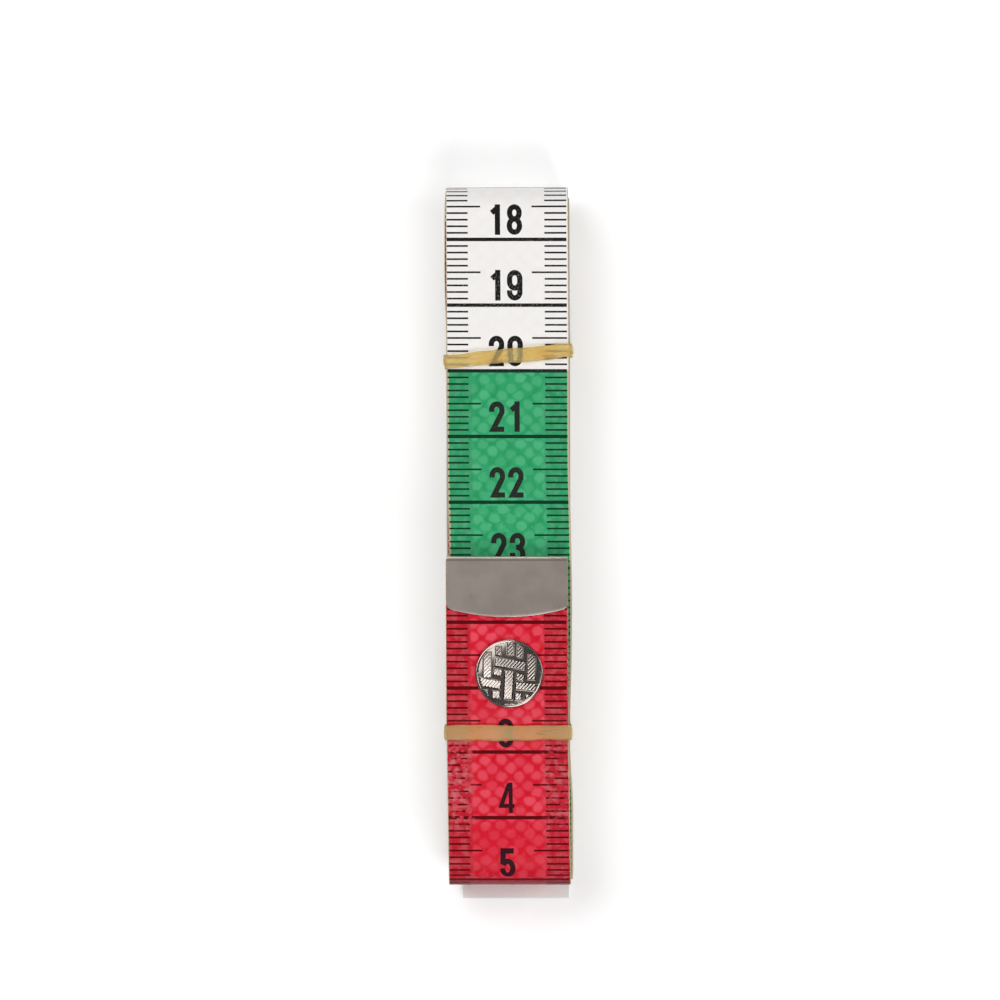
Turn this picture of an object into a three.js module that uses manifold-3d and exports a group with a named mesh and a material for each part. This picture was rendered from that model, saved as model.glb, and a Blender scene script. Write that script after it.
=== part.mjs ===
// Cloth tape measure, wound flat into a bundle and held by two rubber bands.
// Millimetres, +Z up. The bundle lies on its back with its length along Y. The zero end of the
// tape faces up, folded over the bundle's lower end and fastened there by a snap button.
import * as THREE from 'three';
import { mergeVertices } from 'three/addons/utils/BufferGeometryUtils.js';
import Module from 'manifold-3d';

const wasm = await Module();
wasm.setup();

// Tape
const TAPE_LENGTH = 1500;
const TAPE_WIDTH = 18.6;
const TAPE_THICKNESS = 0.38;

// Winding, a flat spiral of the tape
const BUNDLE_LENGTH = 106.3;
const LAYER_GAP = 0.45;
const CORE_RADIUS = 0.84;
const CORNER_SHARE = 0.77;
const CORNER_STEPS = 6;
const RAMP_STEPS = 5;
const BULGE = 0.4;
const UPPER_RAMP_START = 10;
const UPPER_RAMP_LENGTH = 12;

// Flap, the tape's first stretch, measured from its zero edge
const ZERO_EDGE_DROP = 3.1;
const LEVEL_LENGTH = 21.9;
const RAMP_LENGTH = 8;
const BUTTON_REACH = 17.8;
const TIP_LINE = 11;
const FLAP_LINE = 25.2;
const FOLD_GAP = 0.42;

// Running clearance between pieces that lie on each other
const CLEARANCE = 0.1;

// Metal end caps, folded from one sheet
const CAP_SHEET = 0.25;
const CAP_SIDE_SETBACK = 0.075;
const CAP_LENGTH = 9.2;
const CAP_SAG = 1.3;
const CAP_BACK_LENGTH = 6;
const CAP_CORNER_RADIUS = 0.8;
const CAP_FOLD_RADIUS = 0.3;
const CAP_ARC_STEPS = 12;

// Snap button: cap and prong ring above the flap, socket and its spring below it
const BUTTON_SHIFT = 0.15;
const BUTTON_RADIUS = 5.15;
const BUTTON_SHEET = 0.25;
const BUTTON_SKIRT = 0.45;
const BUTTON_DOME = 0.58;
const PRONG_PLATE_INNER = 2.6;
const PRONG_PLATE_OUTER = 4.2;
const PRONG_PLATE_THICKNESS = 0.25;
const PRONG_COUNT = 5;
const PRONG_CIRCLE = 3.15;
const PRONG_DEPTH = 0.25;
const PRONG_WIDTH = 0.9;
const PRONG_LENGTH = 1.2;
const SOCKET_OUTER = 4;
const SOCKET_MOUTH = 1.95;
const SOCKET_HEIGHT = 1.3;
const SOCKET_SHEET = 0.15;
const SOCKET_POCKET = 2.2;
const SOCKET_POCKET_HEIGHT = 0.52;
const SPRING_INNER = 1.8;
const SPRING_WIRE = 0.24;
const SPRING_GAP_ANGLE = 30;

// Snap stud and the eyelet that rivets it to the first layer of the winding
const STUD_OUTER = 4;
const STUD_PLATE = 0.3;
const STUD_SHEET = 0.25;
const STUD_BORE = 1.05;
const STUD_NECK_HEIGHT = 0.5;
const STUD_HEAD_RADIUS = 1.7;
const STUD_HEAD_HEIGHT = 0.84;
const HEAD_WIDEST_SHARE = 0.46;
const CROWN_SHARE = 0.75;
const EYELET_OUTER = 3;
const EYELET_POST = 0.9;
const EYELET_BORE = 0.65;
const EYELET_FLARE = 1.15;
const EYELET_FLARE_HEIGHT = 0.25;

// Rubber bands
const BAND_THICKNESS = 0.65;
const BAND_SIDE_GAP = 0.2;
const BAND_FRONT_GAP = 0.2;
const BAND_CORNER_RADIUS = 0.4;
const BAND_CORNER_STEPS = 5;
const BAND_EDGE = 0.18;
const LOWER_BAND_WIDTH = 2.45;
const LOWER_BAND_GAP = 0.5;
const UPPER_BAND_WIDTH = 2;
const UPPER_BAND_RISE = 27.4;
const UPPER_BAND_TILT = 5.2;

// Card strip behind the winding
const STRIP_WIDTH = 16.2;
const STRIP_THICKNESS = 0.25;
const STRIP_OVERHANG = 2.25;
const STRIP_TOP_SETBACK = 8;

// Shared by cuts and turned pieces
const OVERRUN = 0.1;
const ROUND_STEPS = 40;
const DOME_STEPS = 6;
const WIRE_SIDES = 6;

// Places worked out from the sizes above
const PITCH = TAPE_THICKNESS + LAYER_GAP;
const HALF_TAPE = TAPE_THICKNESS / 2;
const BACK_HEIGHT = BAND_THICKNESS + CLEARANCE + STRIP_THICKNESS + CLEARANCE + HALF_TAPE;
const CAP_WIDTH = TAPE_WIDTH - 2 * CAP_SIDE_SETBACK;
const SNAP_STACK = CLEARANCE + STUD_PLATE + CLEARANCE + SOCKET_HEIGHT + CLEARANCE;
const ZERO_EDGE_Y = -ZERO_EDGE_DROP;
const BUTTON_Y = ZERO_EDGE_Y - BUTTON_REACH;
const RAMP_TOP_Y = ZERO_EDGE_Y - LEVEL_LENGTH;
const RAMP_FOOT_Y = RAMP_TOP_Y - RAMP_LENGTH;
const UPPER_RAMP_FOOT = UPPER_RAMP_START + UPPER_RAMP_LENGTH;
const EYELET_PLATE = LAYER_GAP - 2 * CLEARANCE;
const STRIP_BOTTOM_Y = -BUNDLE_LENGTH / 2 - STRIP_OVERHANG;
const STRIP_TOP_Y = BUNDLE_LENGTH / 2 - STRIP_TOP_SETBACK;

// Height above the floor of the spiral's middle
function spiralHeight(count) {
  return BACK_HEIGHT + CORE_RADIUS + (count - 2) * PITCH;
}

// Height of a front layer's middle away from the bulge, layer 0 being the outermost
function frontHeight(count, layer) {
  return spiralHeight(count) + CORE_RADIUS + (count - 1 - layer) * PITCH;
}

// How far the front layers stand out at a place along the bundle, as a share of the bulge
function bulgeShare(y) {
  const rise = THREE.MathUtils.smoothstep(y, RAMP_FOOT_Y, RAMP_TOP_Y);
  return rise * (1 - THREE.MathUtils.smoothstep(y, UPPER_RAMP_START, UPPER_RAMP_FOOT));
}

// Points of a stretch of front layer that changes height between two places
function ramp(fromY, toY, heightAt) {
  const points = [];
  for (let step = 0; step <= RAMP_STEPS; step += 1) {
    const y = THREE.MathUtils.lerp(fromY, toY, step / RAMP_STEPS);
    points.push(new THREE.Vector2(y, heightAt(y)));
  }
  return points;
}

// Half turn round an end of the bundle: two rounded corners with a flat between them
function bend(centreY, centreZ, radius, startDegrees) {
  const points = [];
  const corner = CORNER_SHARE * radius;
  for (const quarter of [0, 1]) {
    const start = startDegrees + 90 * quarter;
    const towards = THREE.MathUtils.degToRad(start + 45);
    const cornerY = centreY + Math.sign(Math.cos(towards)) * (radius - corner);
    const cornerZ = centreZ + Math.sign(Math.sin(towards)) * (radius - corner);
    for (let step = 0; step <= CORNER_STEPS; step += 1) {
      const angle = THREE.MathUtils.degToRad(start + (90 * step) / CORNER_STEPS);
      points.push(new THREE.Vector2(cornerY + corner * Math.cos(angle), cornerZ + corner * Math.sin(angle)));
    }
  }
  return points;
}

// Middle line of the tape in the Y-Z plane, from its zero edge inwards to the core. The innermost
// front layer lies flat, under the others' bulge.
function spiral(count) {
  const middle = spiralHeight(count);
  const outerLower = CORE_RADIUS + (count - 1.5) * PITCH;
  const outerUpper = CORE_RADIUS + (count - 2) * PITCH;
  const lowerY = -BUNDLE_LENGTH / 2 + outerLower + HALF_TAPE;
  const upperY = BUNDLE_LENGTH / 2 - outerUpper - HALF_TAPE;
  const flapRise = SNAP_STACK + TAPE_THICKNESS + BULGE - PITCH;
  const points = [new THREE.Vector2(ZERO_EDGE_Y, frontHeight(count, 0) + flapRise)];
  for (let layer = 0; layer < count - 1; layer += 1) {
    const rise = layer === 0 ? flapRise : BULGE;
    const heightAt = (y) => frontHeight(count, layer) + rise * bulgeShare(y);
    if (layer > 0) points.push(...ramp(UPPER_RAMP_FOOT, UPPER_RAMP_START, heightAt));
    points.push(...ramp(RAMP_TOP_Y, RAMP_FOOT_Y, heightAt));
    points.push(...bend(lowerY, middle + PITCH / 2, outerLower - layer * PITCH, 90));
    points.push(...bend(upperY, middle, outerUpper - layer * PITCH, 270));
  }
  return [...points, new THREE.Vector2(lowerY, frontHeight(count, count - 1))];
}

function lengthOf(points) {
  return points.slice(1).reduce((sum, point, index) => sum + point.distanceTo(points[index]), 0);
}

// The spiral with just enough layers to hold the whole tape
function woundLine() {
  let count = 3;
  while (lengthOf(spiral(count)) < TAPE_LENGTH) count += 1;
  return { turns: count, line: spiral(count) };
}

// Places that follow from the finished spiral
const { turns: LAYERS, line: TAPE_LINE } = woundLine();
const FLAP_HEIGHT = TAPE_LINE[0].y;
const FLAP_TOP = FLAP_HEIGHT + HALF_TAPE;
const FLAP_UNDERSIDE = FLAP_HEIGHT - HALF_TAPE;
const BUTTON_LAYER = frontHeight(LAYERS, 1) + BULGE;
const STUD_SEAT = BUTTON_LAYER + HALF_TAPE + CLEARANCE;
const FLAP_LINE_Y = stretch(TAPE_LINE, 0, FLAP_LINE).at(-1).x;
const LOWER_BAND_Y = FLAP_LINE_Y - LOWER_BAND_GAP - LOWER_BAND_WIDTH / 2;

// Closed mesh of a geometry as a solid for joining and cutting
function solidOf(geometry) {
  const bare = geometry.clone();
  bare.deleteAttribute('normal');
  bare.deleteAttribute('uv');
  const merged = mergeVertices(bare, 1e-3);
  const vertProperties = new Float32Array(merged.attributes.position.array);
  const triVerts = new Uint32Array(merged.index.array);
  return new wasm.Manifold(new wasm.Mesh({ numProp: 3, vertProperties, triVerts }));
}

function geometryOf(solid) {
  const mesh = solid.getMesh();
  const geometry = new THREE.BufferGeometry();
  geometry.setAttribute('position', new THREE.BufferAttribute(mesh.vertProperties, 3));
  geometry.setIndex(new THREE.BufferAttribute(mesh.triVerts, 1));
  geometry.computeVertexNormals();
  return geometry;
}

function joined(...geometries) {
  return geometryOf(geometries.map(solidOf).reduce((whole, solid) => whole.add(solid)));
}

function cut(geometry, ...tools) {
  return geometryOf(tools.map(solidOf).reduce((whole, tool) => whole.subtract(tool), solidOf(geometry)));
}

function common(first, second) {
  return geometryOf(solidOf(first).intersect(solidOf(second)));
}

// Outline in the Y-Z plane carried straight across the tape's width
function acrossWidth(outline, width) {
  const geometry = new THREE.ExtrudeGeometry(new THREE.Shape(outline), { depth: width, bevelEnabled: false });
  const [x, y, z] = [[1, 0, 0], [0, 1, 0], [0, 0, 1]].map((axis) => new THREE.Vector3(...axis));
  geometry.applyMatrix4(new THREE.Matrix4().makeBasis(y, z, x));
  return geometry.translate(-width / 2, 0, 0);
}

// Solid of revolution about Z from [radius, height] points, listed anticlockwise
function turned(profile, steps = ROUND_STEPS) {
  const points = profile.map(([radius, height]) => new THREE.Vector2(radius, height));
  const closed = points[0].x > 0 ? [...points, points[0].clone()] : points;
  return new THREE.LatheGeometry(closed, steps).rotateX(Math.PI / 2);
}

function disc(radius, bottom, top) {
  return turned([[0, bottom], [radius, bottom], [radius, top], [0, top]]);
}

// Stretch of a line between two distances along it
function stretch(points, from, to) {
  const kept = [];
  let travelled = 0;
  for (let index = 1; index < points.length; index += 1) {
    const step = points[index].distanceTo(points[index - 1]);
    const at = (distance) => points[index - 1].clone().lerp(points[index], (distance - travelled) / step);
    if (kept.length === 0 && travelled + step > from) kept.push(at(from));
    if (kept.length > 0 && travelled + step >= to) return [...kept, at(to)];
    if (kept.length > 0) kept.push(points[index].clone());
    travelled += step;
  }
  return kept;
}

// Normal of the printed side, lengthened at a corner so that both faces keep their distance
function mitre(points, index) {
  const leg = (from, to) => points[to].clone().sub(points[from]).normalize();
  const into = index > 0 ? leg(index - 1, index) : leg(0, 1);
  const out = index < points.length - 1 ? leg(index, index + 1) : into.clone();
  const along = into.clone().add(out).normalize();
  return new THREE.Vector2(along.y, -along.x).divideScalar(along.dot(into));
}

// Outline of a strip of even thickness about its middle line
function stripOutline(points, thickness) {
  const half = thickness / 2;
  return [...offsetLine(points, -half), ...offsetLine(points, half).reverse()];
}

// Smallest free space between two layers of the spiral, measured from its points
function leastGap(points, thickness) {
  const travelled = [0];
  points.slice(1).forEach((point, index) => travelled.push(travelled[index] + point.distanceTo(points[index])));
  const nearest = new THREE.Vector3();
  let least = Infinity;
  for (let index = 0; index < points.length; index += 1) {
    const point = new THREE.Vector3(points[index].x, points[index].y, 0);
    for (let other = 1; other < points.length; other += 1) {
      const apart = Math.min(
        Math.abs(travelled[other] - travelled[index]),
        Math.abs(travelled[other - 1] - travelled[index]),
      );
      if (apart < 4 * CORE_RADIUS) continue;
      const [from, to] = [points[other - 1], points[other]].map((end) => new THREE.Vector3(end.x, end.y, 0));
      new THREE.Line3(from, to).closestPointToPoint(point, true, nearest);
      least = Math.min(least, nearest.distanceTo(point) - thickness);
    }
  }
  return least;
}

function tapePiece(from, to) {
  return acrossWidth(stripOutline(stretch(TAPE_LINE, from, to), TAPE_THICKNESS), TAPE_WIDTH);
}

function tapeWinding() {
  const wound = tapePiece(FLAP_LINE + FOLD_GAP / 2, TAPE_LENGTH - CAP_SHEET - CLEARANCE);
  const hole = disc(EYELET_POST + CLEARANCE, -TAPE_THICKNESS, TAPE_THICKNESS);
  return cut(wound, hole.translate(BUTTON_SHIFT, BUTTON_Y, BUTTON_LAYER));
}

// Prong positions round the button, with the height span that each covers
function prongs(clearance, bottom, top) {
  const boxes = [];
  for (let index = 0; index < PRONG_COUNT; index += 1) {
    const prong = new THREE.BoxGeometry(
      PRONG_DEPTH + 2 * clearance,
      PRONG_WIDTH + 2 * clearance,
      top - bottom,
    );
    prong.translate(PRONG_CIRCLE, 0, (top + bottom) / 2);
    boxes.push(prong.rotateZ((2 * Math.PI * index) / PRONG_COUNT));
  }
  return boxes;
}

function tapeButtonZone() {
  const zone = tapePiece(TIP_LINE + FOLD_GAP / 2, FLAP_LINE - FOLD_GAP / 2);
  const slots = prongs(CLEARANCE, -TAPE_THICKNESS, TAPE_THICKNESS);
  return cut(zone, ...slots.map((slot) => slot.translate(BUTTON_SHIFT, BUTTON_Y, FLAP_HEIGHT)));
}

function tapeTip() {
  return tapePiece(CAP_SHEET + CLEARANCE, TIP_LINE - FOLD_GAP / 2);
}

// Points of an arc about a centre, in degrees
function arc(centreX, centreY, radius, from, to, steps) {
  const points = [];
  for (let step = 0; step <= steps; step += 1) {
    const angle = THREE.MathUtils.degToRad(THREE.MathUtils.lerp(from, to, step / steps));
    points.push(new THREE.Vector2(centreX + radius * Math.cos(angle), centreY + radius * Math.sin(angle)));
  }
  return points;
}

// Line beside another one, on the printed side of the tape where the distance is positive
function offsetLine(points, distance) {
  return points.map((point, index) => point.clone().add(mitre(points, index).multiplyScalar(distance)));
}

// Sheet folded over a tape end and pressed on along the tape's line, given from its end inwards
function endCap(line) {
  const inner = HALF_TAPE + CLEARANCE;
  const outer = inner + CAP_SHEET;
  const front = stretch(line, 0, CAP_LENGTH);
  const back = stretch(line, 0, CAP_BACK_LENGTH);
  const heading = line[1].clone().sub(line[0]).normalize();
  const turn = THREE.MathUtils.radToDeg(heading.angle());
  const foldCorner = (side, from, to) => {
    const centre = new THREE.Vector2(CAP_FOLD_RADIUS, side * (outer - CAP_FOLD_RADIUS));
    centre.rotateAround(new THREE.Vector2(), heading.angle()).add(line[0]);
    return arc(centre.x, centre.y, CAP_FOLD_RADIUS, turn + from, turn + to, CORNER_STEPS);
  };
  const side = [
    ...offsetLine(stretch(front, CAP_SHEET, CAP_LENGTH), inner).reverse(),
    ...offsetLine(stretch(back, CAP_SHEET, CAP_BACK_LENGTH), -inner),
    ...offsetLine(stretch(back, CAP_FOLD_RADIUS, CAP_BACK_LENGTH), -outer).reverse(),
    ...foldCorner(1, 90, 180).slice(1),
    ...foldCorner(-1, 180, 270).slice(0, -1),
    ...offsetLine(stretch(front, CAP_FOLD_RADIUS, CAP_LENGTH), outer),
  ];
  const outline = capOutline();
  outline.rotateX(Math.PI + heading.angle()).translate(0, line[0].x, line[0].y);
  return common(acrossWidth(side, CAP_WIDTH), outline);
}

// Outline of an end cap seen square on: rounded corners and a bowed lower edge
function capOutline() {
  const half = CAP_WIDTH / 2;
  const bowRadius = (half * half + CAP_SAG * CAP_SAG) / (2 * CAP_SAG);
  const corner = CAP_CORNER_RADIUS;
  const bowCentre = bowRadius - CAP_LENGTH;
  const cornerX = half - corner;
  const cornerY = bowCentre - Math.sqrt((bowRadius - corner) ** 2 - cornerX ** 2);
  const meet = THREE.MathUtils.radToDeg(Math.atan2(cornerY - bowCentre, cornerX));
  const outline = [
    new THREE.Vector2(half, OVERRUN),
    new THREE.Vector2(-half, OVERRUN),
    ...arc(-cornerX, cornerY, corner, 180, 180 - meet, CORNER_STEPS),
    ...arc(0, bowCentre, bowRadius, 180 - meet, 360 + meet, CAP_ARC_STEPS).slice(1, -1),
    ...arc(cornerX, cornerY, corner, meet, 0, CORNER_STEPS),
  ];
  const depth = 2 * CAP_LENGTH;
  const plate = new THREE.ExtrudeGeometry(new THREE.Shape(outline), { depth, bevelEnabled: false });
  return plate.translate(0, 0, -depth / 2);
}

// Quarter ellipse of a dome, from its rim up to the axis
function domeProfile(radius, foot, rise, steps) {
  const points = [];
  for (let step = 0; step <= steps; step += 1) {
    const angle = (Math.PI / 2) * (step / steps);
    points.push([step === steps ? 0 : radius * Math.cos(angle), foot + rise * Math.sin(angle)]);
  }
  return points;
}

// Domed button shell, standing just above the flap at height 0
function snapCap() {
  const outer = domeProfile(BUTTON_RADIUS, BUTTON_SKIRT, BUTTON_DOME, DOME_STEPS);
  const shoulder = BUTTON_SKIRT - BUTTON_SHEET;
  const inner = domeProfile(BUTTON_RADIUS - BUTTON_SHEET, shoulder, BUTTON_DOME, DOME_STEPS);
  return turned([...inner.reverse(), [BUTTON_RADIUS - BUTTON_SHEET, 0], [BUTTON_RADIUS, 0], ...outer]);
}

// Plate with prongs that reach down through the tape into the socket
function snapProngRing() {
  const plate = turned([
    [PRONG_PLATE_INNER, 0],
    [PRONG_PLATE_OUTER, 0],
    [PRONG_PLATE_OUTER, PRONG_PLATE_THICKNESS],
    [PRONG_PLATE_INNER, PRONG_PLATE_THICKNESS],
  ]);
  return joined(plate, ...prongs(0, -PRONG_LENGTH, PRONG_PLATE_THICKNESS / 2));
}

// Socket of folded sheet: a rim wall, a floor and an inner pocket that traps the spring
function snapSocket() {
  const pocketTop = SOCKET_SHEET + SOCKET_POCKET_HEIGHT;
  return turned([
    [SOCKET_MOUTH, 0],
    [SOCKET_OUTER, 0],
    [SOCKET_OUTER, SOCKET_HEIGHT],
    [SOCKET_OUTER - SOCKET_SHEET, SOCKET_HEIGHT],
    [SOCKET_OUTER - SOCKET_SHEET, SOCKET_SHEET],
    [SOCKET_POCKET + SOCKET_SHEET, SOCKET_SHEET],
    [SOCKET_POCKET + SOCKET_SHEET, pocketTop + SOCKET_SHEET],
    [SOCKET_MOUTH, pocketTop + SOCKET_SHEET],
    [SOCKET_MOUTH, pocketTop],
    [SOCKET_POCKET, pocketTop],
    [SOCKET_POCKET, SOCKET_SHEET],
    [SOCKET_MOUTH, SOCKET_SHEET],
  ]);
}

// Split wire ring that grips the stud
function socketSpring() {
  const wire = SPRING_WIRE / 2;
  const radius = SPRING_INNER + wire;
  const gap = SPRING_GAP_ANGLE / 2;
  const points = arc(0, 0, radius, gap, 360 - gap, ROUND_STEPS);
  const path = new THREE.CatmullRomCurve3(points.map((point) => new THREE.Vector3(point.x, point.y, 0)));
  const section = new THREE.Shape(arc(0, 0, wire, 0, 360, WIRE_SIDES).slice(0, -1));
  const geometry = new THREE.ExtrudeGeometry(section, { steps: ROUND_STEPS, extrudePath: path });
  return geometry.translate(0, 0, SOCKET_SHEET + SOCKET_POCKET_HEIGHT / 2);
}

// Stud drawn from sheet: a round plate, a hollow neck and a wider hollow head
function snapStud() {
  const neck = STUD_BORE + STUD_SHEET;
  const headFoot = STUD_PLATE + STUD_NECK_HEIGHT;
  const headTop = headFoot + STUD_HEAD_HEIGHT;
  const widest = headFoot + STUD_HEAD_HEIGHT * HEAD_WIDEST_SHARE;
  const crown = STUD_HEAD_RADIUS * CROWN_SHARE;
  return turned([
    [0, headTop - STUD_SHEET],
    [crown - STUD_SHEET / 2, headTop - STUD_SHEET],
    [STUD_HEAD_RADIUS - STUD_SHEET, widest],
    [STUD_BORE, headFoot],
    [STUD_BORE, 0],
    [STUD_OUTER, 0],
    [STUD_OUTER, STUD_PLATE],
    [neck, STUD_PLATE],
    [neck, headFoot],
    [STUD_HEAD_RADIUS, widest],
    [crown, headTop],
    [0, headTop],
  ]);
}

// Eyelet under the layer, its post going up through the tape and flaring inside the stud
function studEyelet() {
  const flareFoot = EYELET_PLATE + 2 * CLEARANCE + TAPE_THICKNESS + STUD_PLATE + STUD_NECK_HEIGHT;
  const flareTop = flareFoot + EYELET_FLARE_HEIGHT;
  return turned([
    [EYELET_BORE, 0],
    [EYELET_OUTER, 0],
    [EYELET_OUTER, EYELET_PLATE],
    [EYELET_POST, EYELET_PLATE],
    [EYELET_POST, flareFoot],
    [EYELET_FLARE, flareTop],
    [EYELET_FLARE - (EYELET_POST - EYELET_BORE), flareTop],
    [EYELET_BORE, flareFoot],
  ]);
}

// Rectangle with rounded corners in the X-Z plane, anticlockwise from its lower right corner
function roundedLoop(half, bottom, top, radius) {
  return [
    ...arc(half - radius, bottom + radius, radius, -90, 0, BAND_CORNER_STEPS),
    ...arc(half - radius, top - radius, radius, 0, 90, BAND_CORNER_STEPS),
    ...arc(radius - half, top - radius, radius, 90, 180, BAND_CORNER_STEPS),
    ...arc(radius - half, bottom + radius, radius, 180, 270, BAND_CORNER_STEPS),
  ];
}

// Rubber band stretched round the winding, with softened edges. topAt gives the height of its
// inner face over the front at each place across its width.
function rubberBand(innerHalf, width, topAt) {
  const sections = [];
  for (const [along, inset] of [[-1, BAND_EDGE], [-1, 0], [1, 0], [1, BAND_EDGE]]) {
    const y = along * (width / 2 - (inset > 0 ? 0 : BAND_EDGE));
    const reach = BAND_THICKNESS - inset;
    const outerRadius = BAND_CORNER_RADIUS + reach;
    const floor = BAND_THICKNESS;
    sections.push([
      roundedLoop(innerHalf + reach, floor - reach, topAt(y) + reach, outerRadius),
      roundedLoop(innerHalf, floor, topAt(y), BAND_CORNER_RADIUS),
    ].map((loop) => loop.map((point) => [point.x, y, point.y])));
  }
  return loftedRing(sections);
}

// Closed ring from sections that each hold an outer and an inner loop of as many points
function loftedRing(sections) {
  const count = sections[0][0].length;
  const positions = sections.flat(2).flat();
  const at = (section, loop, index) => (section * 2 + loop) * count + (index % count);
  const triangles = [];
  const quad = (a, b, c, d) => triangles.push(a, c, b, a, d, c);
  const last = sections.length - 1;
  for (let index = 0; index < count; index += 1) {
    const next = index + 1;
    for (let section = 0; section < last; section += 1) {
      quad(at(section, 0, index), at(section, 0, next), at(section + 1, 0, next), at(section + 1, 0, index));
      quad(at(section, 1, next), at(section, 1, index), at(section + 1, 1, index), at(section + 1, 1, next));
    }
    quad(at(0, 0, next), at(0, 0, index), at(0, 1, index), at(0, 1, next));
    quad(at(last, 0, index), at(last, 0, next), at(last, 1, next), at(last, 1, index));
  }
  const geometry = new THREE.BufferGeometry();
  geometry.setAttribute('position', new THREE.Float32BufferAttribute(positions, 3));
  geometry.setIndex(triangles);
  geometry.computeVertexNormals();
  return geometry;
}

// Lower band, its front bar following the flap as it rises towards the button
function rubberBandLower() {
  const flapRise = FLAP_HEIGHT - frontHeight(LAYERS, 0);
  const clearOf = (y) => frontHeight(LAYERS, 0) + flapRise * bulgeShare(y) + HALF_TAPE + BAND_FRONT_GAP;
  const half = LOWER_BAND_WIDTH / 2;
  const [below, above] = [clearOf(LOWER_BAND_Y - half), clearOf(LOWER_BAND_Y + half)];
  const topAt = (y) => THREE.MathUtils.mapLinear(y, -half, half, below, above);
  return rubberBand(TAPE_WIDTH / 2 + BAND_SIDE_GAP, LOWER_BAND_WIDTH, topAt);
}

// Upper band, wide enough inside to lie askew round the straight winding
function rubberBandUpper() {
  const tilt = THREE.MathUtils.degToRad(UPPER_BAND_TILT);
  const half = UPPER_BAND_WIDTH / 2;
  const innerHalf = (TAPE_WIDTH / 2 + BAND_SIDE_GAP + half * Math.sin(tilt)) / Math.cos(tilt);
  const lowestEdge = UPPER_BAND_RISE - half - innerHalf * Math.sin(tilt);
  const front = frontHeight(LAYERS, 1) + BULGE * bulgeShare(lowestEdge) + HALF_TAPE;
  return rubberBand(innerHalf, UPPER_BAND_WIDTH, () => front + BAND_FRONT_GAP);
}

function backingStrip() {
  return new THREE.BoxGeometry(STRIP_WIDTH, STRIP_TOP_Y - STRIP_BOTTOM_Y, STRIP_THICKNESS);
}

function finish(color, roughness, metalness) {
  return new THREE.MeshStandardMaterial({ color, roughness, metalness });
}

const MATERIALS = {
  whiteTape: finish(0xece8e2, 0.55, 0),
  redTape: finish(0xd01c38, 0.55, 0),
  capNickel: finish(0x9a9086, 0.4, 0.9),
  snapNickel: finish(0xa8a29a, 0.35, 0.9),
  springSteel: finish(0xb8b8ba, 0.3, 1),
  rubber: finish(0xc79a5c, 0.5, 0),
  card: finish(0xe6e2dc, 0.85, 0),
};

function piece(name, geometry, material, x = 0, y = 0, z = 0) {
  const mesh = new THREE.Mesh(geometry, material);
  mesh.name = name;
  mesh.position.set(x, y, z);
  return mesh;
}

// The tape in its three stretches, with a metal cap at each end
function tapeGroup() {
  const group = new THREE.Group();
  const wound = stretch(TAPE_LINE, 0, TAPE_LENGTH);
  group.add(
    piece('tape_winding', tapeWinding(), MATERIALS.whiteTape),
    piece('tape_button_zone', tapeButtonZone(), MATERIALS.redTape),
    piece('tape_tip', tapeTip(), MATERIALS.redTape),
    piece('end_cap_outer', endCap(wound), MATERIALS.capNickel),
    piece('end_cap_inner', endCap(wound.toReversed()), MATERIALS.capNickel),
  );
  return group;
}

// The snap button's six pieces on their common axis
function snapGroup() {
  const group = new THREE.Group();
  group.position.set(BUTTON_SHIFT, BUTTON_Y, 0);
  const buttonSeat = FLAP_TOP + CLEARANCE;
  const socketSeat = FLAP_UNDERSIDE - CLEARANCE - SOCKET_HEIGHT;
  const eyeletSeat = BUTTON_LAYER - HALF_TAPE - CLEARANCE - EYELET_PLATE;
  group.add(
    piece('snap_cap', snapCap(), MATERIALS.snapNickel, 0, 0, buttonSeat),
    piece('snap_prong_ring', snapProngRing(), MATERIALS.snapNickel, 0, 0, buttonSeat),
    piece('snap_socket', snapSocket(), MATERIALS.snapNickel, 0, 0, socketSeat),
    piece('socket_spring', socketSpring(), MATERIALS.springSteel, 0, 0, socketSeat),
    piece('snap_stud', snapStud(), MATERIALS.snapNickel, 0, 0, STUD_SEAT),
    piece('stud_eyelet', studEyelet(), MATERIALS.snapNickel, 0, 0, eyeletSeat),
  );
  return group;
}

// What holds the winding together and what lies behind it
function wrappingGroup() {
  const group = new THREE.Group();
  const upper = piece('rubber_band_upper', rubberBandUpper(), MATERIALS.rubber, 0, UPPER_BAND_RISE);
  upper.rotation.z = THREE.MathUtils.degToRad(UPPER_BAND_TILT);
  const stripX = (TAPE_WIDTH - STRIP_WIDTH) / 2;
  const stripY = (STRIP_TOP_Y + STRIP_BOTTOM_Y) / 2;
  const stripZ = BAND_THICKNESS + CLEARANCE + STRIP_THICKNESS / 2;
  group.add(
    upper,
    piece('rubber_band_lower', rubberBandLower(), MATERIALS.rubber, 0, LOWER_BAND_Y),
    piece('backing_strip', backingStrip(), MATERIALS.card, stripX, stripY, stripZ),
  );
  return group;
}

// The origin is below the middle of the whole, strip included
const bundle = new THREE.Group();
bundle.position.y = STRIP_OVERHANG / 2;
bundle.add(tapeGroup(), snapGroup(), wrappingGroup());
const tapeMeasure = new THREE.Group();
tapeMeasure.add(bundle);

const windingGap = leastGap(TAPE_LINE, TAPE_THICKNESS);
console.log(`tape_winding: ${LAYERS} front layers, least gap to itself ${windingGap.toFixed(3)} mm`);

export default tapeMeasure;
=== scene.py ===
# %% [markdown]
# # A cloth tape measure, wound flat
#
# A tailor's tape is 1.5 m of woven cloth, coated in colour and printed on both sides. It is wound
# flat, its zero end is fastened with a snap button, and two rubber bands hold the rest. Here every
# layer is one real strip: it is cut, coloured and printed flat, as in the factory, and wound
# afterwards, so that the print runs round the bends as ink does. The first cell loads the frame
# that everything is placed in, and keeps its parts, whose boxes give the sizes.

import math

import bmesh
import bpy
import numpy as np
from mathutils import Matrix, Vector


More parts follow.
